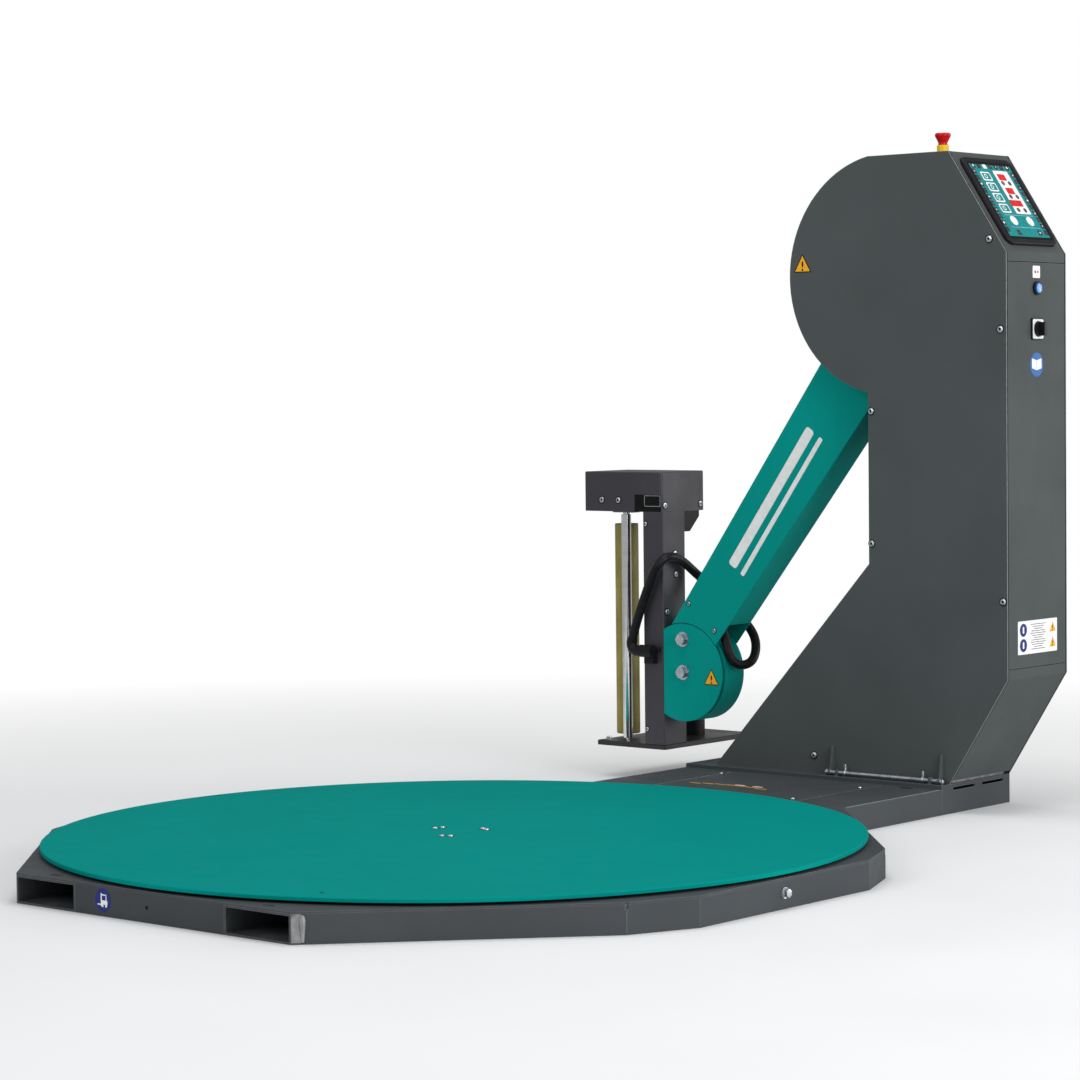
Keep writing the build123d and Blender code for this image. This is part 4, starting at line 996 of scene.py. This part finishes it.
def add_tray_edges():
    """Painted highlights along the bends of the tray's side flanges and the lid's edges, and the
    lid's two long dark seams.
    """
    tray_low, tray_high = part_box("extension_tray")
    lid_low, lid_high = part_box("extension_lid")
    sides = (("right", -1, tray_high.x, lid_high.x), ("left", 1, tray_low.x, lid_low.x))
    for side, inward, tray_x, lid_x in sides:
        # The rims and lid edges are strips of painted highlight along the bends; the seams are
        # dark joints.
        strips = (
            ("tray_rim", 0.0035, 0.36, LIGHT_GREY_AND_EDGE_HIGHLIGHT, 0.001, tray_x + 0.0022 * inward, TRAY_EDGE_Y),
            ("lid_seam", 0.0022, LID_SEAM_LENGTH, DARK_GAP, 0.0008, lid_x, LID_SEAM_Y),
            ("lid_edge", 0.0018, LID_SEAM_LENGTH, LIGHT_GREY_AND_EDGE_HIGHLIGHT, 0.0007, lid_x + 0.0026 * inward,
             LID_SEAM_Y),
        )
        for name, width, length, finish, corner, x, y in strips:
            strip = tile(f"{name}_{side}", width, length, finish, corner=corner)
            fix(strip, (x, y, tray_top), UP, "base", up=BACKWARD)


def add_disc_fittings():
    screw = model_button_screw(0.0060, 0.0026)
    places = []
    for angle in HUB_SCREW_ANGLES:
        turn = math.radians(angle)
        x, y = HUB_SCREW_RADIUS * math.cos(turn), HUB_SCREW_RADIUS * math.sin(turn)
        places.append((x, y, disc_top))
    fasten(screw, "disc_screw", places, UP, "turntable", up=BACKWARD)
    bpy.data.objects.remove(screw)
    for number, (x, y) in enumerate(RIM_HOLES, 1):
        hole = hole_plug(f"disc_hole_{number}", 0.0045)
        fix(hole, (x, y, disc_top), UP, "turntable", up=BACKWARD)


# ---------------------------------------------------------------- arm
arm_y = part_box("arm_shell")[0].y
KNEE = Vector((-0.441, 0, 0.271))
PIVOT = Vector((0.202, 0, 1.167))
ARM_LINE = (PIVOT - KNEE).normalized()
ARM_ACROSS = Vector((ARM_LINE.z, 0, -ARM_LINE.x))
ARM_SCREWS = [(-0.422, 0.438), (-0.345, 0.376)]
STRIPES = [(-0.030, 0.026), (0.006, 0.012)]          # each one's place across and its width
STRIPE_MIDDLE = 0.50
STRIPE_LENGTH = 0.40


def on_arm(along, across):
    """A place on the arm's front face, measured from the knee."""
    place = KNEE + ARM_LINE * along + ARM_ACROSS * across
    return (place.x, arm_y, place.z)


def add_arm_fittings():
    screw = model_button_screw(0.0052, 0.003)
    places = [(x, arm_y, z) for x, z in ARM_SCREWS]
    fasten(screw, "arm_screw", places, FORWARD, "arm", up=ARM_LINE)
    bpy.data.objects.remove(screw)
    for number, (across, width) in enumerate(STRIPES, 1):
        stripe = tile(f"arm_stripe_{number}", width, STRIPE_LENGTH, SIGN_WHITE, corner=width * 0.3)
        inset_top(stripe, 0.001, RAISED)
        place = on_arm(STRIPE_MIDDLE, across)
        fix(stripe, place, FORWARD, "arm", up=ARM_LINE)


# ---------------------------------------------------------------- carriage
mast_low, mast_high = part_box("mast")
head_low, head_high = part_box("head_cover")
plate_low, plate_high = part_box("carriage_base")
KNUCKLE_TRIANGLE_X, KNUCKLE_TRIANGLE_Z = -0.355, 0.258
HEAD_FRONT_SCREWS = [(-0.690, 0.684), (-0.638, 0.684)]
HEAD_SIDE_SCREWS = [(1.313, 0.672), (1.452, 0.672)]
MAST_SIDE_SCREWS = [(1.350, 0.504), (1.314, 0.414), (1.347, 0.554)]
MAST_FRONT_SCREWS = (0.127, 0.627)
MAST_SCREW_INSET = 0.0085
WINDOW_X, WINDOW_Z = -0.5455, 0.6775
INSERT_X, INSERT_Z = -0.5310, 0.6830
CLAMP_Z = 0.318


def add_knuckle_fittings():
    sign = triangle_sign("knuckle_triangle", 0.045)
    place = (KNUCKLE_TRIANGLE_X, arm_y, KNUCKLE_TRIANGLE_Z)
    fix(sign, place, FORWARD, "carriage")


def add_head_fittings():
    screw = model_button_screw(0.0070, 0.003)
    places = [(x, head_low.y, z) for x, z in HEAD_FRONT_SCREWS]
    fasten(screw, "head_screw_front", places, FORWARD, "carriage")
    places = [(head_high.x, y, z) for y, z in HEAD_SIDE_SCREWS]
    fasten(screw, "head_screw_side", places, RIGHT, "carriage")
    places = [(mast_high.x, y, z) for y, z in MAST_SIDE_SCREWS]
    fasten(screw, "mast_screw_side", places, RIGHT, "carriage")
    bpy.data.objects.remove(screw)
    screw = model_button_screw(0.0052, 0.003)
    places = [(mast_low.x + MAST_SCREW_INSET, mast_low.y, z) for z in MAST_FRONT_SCREWS]
    fasten(screw, "mast_screw_front", places, FORWARD, "carriage")
    bpy.data.objects.remove(screw)
    window = tile("head_window", 0.082, 0.041, DARK_GAP, corner=0.001)
    inset_top(window, 0.0015, -0.0002)
    fix(window, (WINDOW_X, head_low.y, WINDOW_Z), FORWARD, "carriage")
    insert = tile("head_window_insert", 0.050, 0.027, LIGHT_GREY_AND_EDGE_HIGHLIGHT, corner=0.002, high=0.0010)
    insert.data.materials.append(DARK_GAP)
    inset_top(insert, 0.0016, -0.0003, finish=1)
    fix(insert, (INSERT_X, head_low.y, INSERT_Z), FORWARD, "carriage")
    bearing = tile("roller_bearing_plate", 0.064, 0.030, LIGHT_GREY_AND_EDGE_HIGHLIGHT, corner=0.004, high=0.003)
    cut(bearing, blank_disc("bearing_bore", 0.0105, -0.01, 0.01, sides=32))
    soften(bearing, 0.0006)
    idler_low, idler_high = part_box("idle_roller")
    idler_x = (idler_low.x + idler_high.x) / 2
    idler_y = (idler_low.y + idler_high.y) / 2
    fix(bearing, (idler_x, idler_y, head_low.z), -UP, "carriage", up=BACKWARD)


def add_mast_bracket():
    """A small black clamp and plug below the hose's elbow."""
    bracket = blank_block("elbow_clamp", (-0.549, mast_low.y - 0.006, CLAMP_Z),
                          (-0.509, mast_low.y, 0.329), BLACK_MOULDING)
    soften(bracket, 0.0015)
    seat(bracket, "carriage")
    plug = blank_disc("elbow_plug", 0.0105, 0, 0.014, BLACK_MOULDING, sides=24)
    inset_top(plug, 0.002, 0.002)
    soften(plug, 0.0006)
    place = (-0.532, mast_low.y - 0.012, CLAMP_Z)
    fix(plug, place, -UP, "carriage", up=BACKWARD)


def add_plate_stud():
    stud = model_hex_bolt(0.012, 0.006)
    place = (plate_low.x + 0.022, plate_low.y + 0.020, plate_high.z)
    fasten(stud, "plate_stud", [place], UP, "carriage", up=BACKWARD)
    bpy.data.objects.remove(stud)


# ---------------------------------------------------------------- hose
HOSE_DIAMETER = 0.022
HOSE_ROUTE = [
    (-0.346, 1.334, 0.392), (-0.329, 1.322, 0.342), (-0.308, 1.332, 0.290),
    (-0.284, 1.374, 0.296), (-0.300, 1.410, 0.350), (-0.345, 1.414, 0.398),
    (-0.418, 1.414, 0.456), (-0.476, 1.404, 0.500), (-0.484, 1.352, 0.540),
    (-0.484, 1.302, 0.552), (-0.498, 1.278, 0.532), (-0.524, 1.281, 0.492),
    (-0.549, 1.283, 0.440), (-0.572, 1.283, 0.384), (-0.583, 1.283, 0.348),
]


def add_hose():
    """The conduit from the arm's edge to the mast: one smooth line between its two ends."""
    line = bpy.data.curves.new("conduit_hose", "CURVE")
    line.dimensions = "3D"
    spline = line.splines.new("NURBS")
    spline.points.add(len(HOSE_ROUTE) - 1)
    for point, place in zip(spline.points, HOSE_ROUTE):
        point.co = (*place, 1)
    spline.order_u = 3
    spline.use_endpoint_u = True
    spline.resolution_u = 12
    line.bevel_depth = HOSE_DIAMETER / 2
    line.bevel_resolution = 8
    line.use_fill_caps = True
    hose = bpy.data.objects.new("conduit_hose", line)
    bpy.context.scene.collection.objects.link(hose)
    pick(hose)
    bpy.ops.object.convert(target="MESH")
    hose = named("conduit_hose", HOSE_BLACK)
    bpy.ops.object.shade_smooth_by_angle(angle=SHARP_ANGLE)
    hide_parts("conduit")
    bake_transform(hose)


# ---------------------------------------------------------------- stage
FLOOR_RADIUS = 60.0
PALE = (0.86, 0.87, 0.88, 1.0)
PALER = (0.88, 0.89, 0.90, 1.0)
WHITE = (1, 1, 1, 1)
SKY_STRENGTH = 0.40
FADE_START, FADE_END = 1.2, 4.2    # where the floor starts and ends its melting away
LIGHT_AIM = (0.0, 0.9, 0.5)
SOFTBOXES = {                      # place, side and watts
    "softbox_right": ((5.4, -0.2, 1.8), 2.5, 155),
    "softbox_rim": ((4.6, 6.4, 1.8), 3.0, 110),
    "softbox_front": ((-0.5, -5.2, 3.2), 2.5, 75),
    "softbox_top": ((0.0, 0.5, 5.0), 3.0, 90),
}


def add_floor():
    """A pale studio floor whose far reach melts into the pale surroundings."""
    deselect()
    bpy.ops.mesh.primitive_circle_add(vertices=96, radius=FLOOR_RADIUS, fill_type="NGON")
    material = blank("studio_floor", Roughness=0.7)
    gloss(material, clouds(material, 0.5, 4.0), 0.6, 0.8)
    tint(material, clouds(material, 2.0, 3.0), PALE, PALER)
    nodes = material.node_tree.nodes
    place = node(material, "ShaderNodeTexCoord")
    reach = node(material, "ShaderNodeVectorMath")
    reach.operation = "LENGTH"
    fade = node(material, "ShaderNodeMapRange")
    fade.inputs["From Min"].default_value = FADE_START
    fade.inputs["From Max"].default_value = FADE_END
    glow = node(material, "ShaderNodeEmission", Color=WHITE)
    strength = node(material, "ShaderNodeMapRange")
    strength.inputs["To Min"].default_value = SKY_STRENGTH
    path = node(material, "ShaderNodeLightPath")
    connect(material, path.outputs["Is Camera Ray"], strength.inputs["Value"])
    connect(material, strength.outputs["Result"], glow.inputs["Strength"])
    mix = node(material, "ShaderNodeMixShader")
    connect(material, place.outputs["Object"], reach.inputs[0])
    connect(material, reach.outputs["Value"], fade.inputs["Value"])
    connect(material, fade.outputs["Result"], mix.inputs["Fac"])
    connect(material, nodes["Principled BSDF"].outputs["BSDF"], mix.inputs[1])
    connect(material, glow.outputs["Emission"], mix.inputs[2])
    connect(material, mix.outputs["Shader"], nodes["Material Output"].inputs["Surface"])
    floor = named("studio_floor", material)


def add_light(name, place, size, power):
    data = bpy.data.lights.new(name, "AREA")
    data.shape = "SQUARE"
    data.size = size
    data.energy = power
    light = bpy.data.objects.new(name, data)
    bpy.context.scene.collection.objects.link(light)
    light.location = place
    light.rotation_mode = "QUATERNION"
    light.rotation_quaternion = (Vector(LIGHT_AIM) - Vector(place)).to_track_quat("-Z", "Y")


def add_lights():
    """White surroundings for the camera, a softer sky for the machine, four softboxes."""
    world = bpy.data.worlds.new("studio")
    world.use_nodes = True
    tree = world.node_tree
    sky = tree.nodes["Background"]
    sky.inputs["Color"].default_value = WHITE
    sky.inputs["Strength"].default_value = SKY_STRENGTH
    backdrop = tree.nodes.new("ShaderNodeBackground")
    backdrop.inputs["Color"].default_value = WHITE
    path = tree.nodes.new("ShaderNodeLightPath")
    mix = tree.nodes.new("ShaderNodeMixShader")
    tree.links.new(path.outputs["Is Camera Ray"], mix.inputs["Fac"])
    tree.links.new(sky.outputs["Background"], mix.inputs[1])
    tree.links.new(backdrop.outputs["Background"], mix.inputs[2])
    tree.links.new(mix.outputs["Shader"], tree.nodes["World Output"].inputs["Surface"])
    bpy.context.scene.world = world
    bpy.context.scene.view_settings.view_transform = "Standard"
    for name, (place, size, power) in SOFTBOXES.items():
        add_light(name, place, size, power)


add_camera()
add_lights()
add_floor()
finish_cad_nodes()
add_hose()
add_panel_screws()
add_seams()
add_column_signs()
add_switch_face()
add_console()
add_hinge_clips()
add_tray_fittings()
add_frame_fittings()
add_fork_edge()
add_tray_edges()
add_disc_fittings()
add_arm_fittings()
add_knuckle_fittings()
add_head_fittings()
add_mast_bracket()
add_plate_stud()
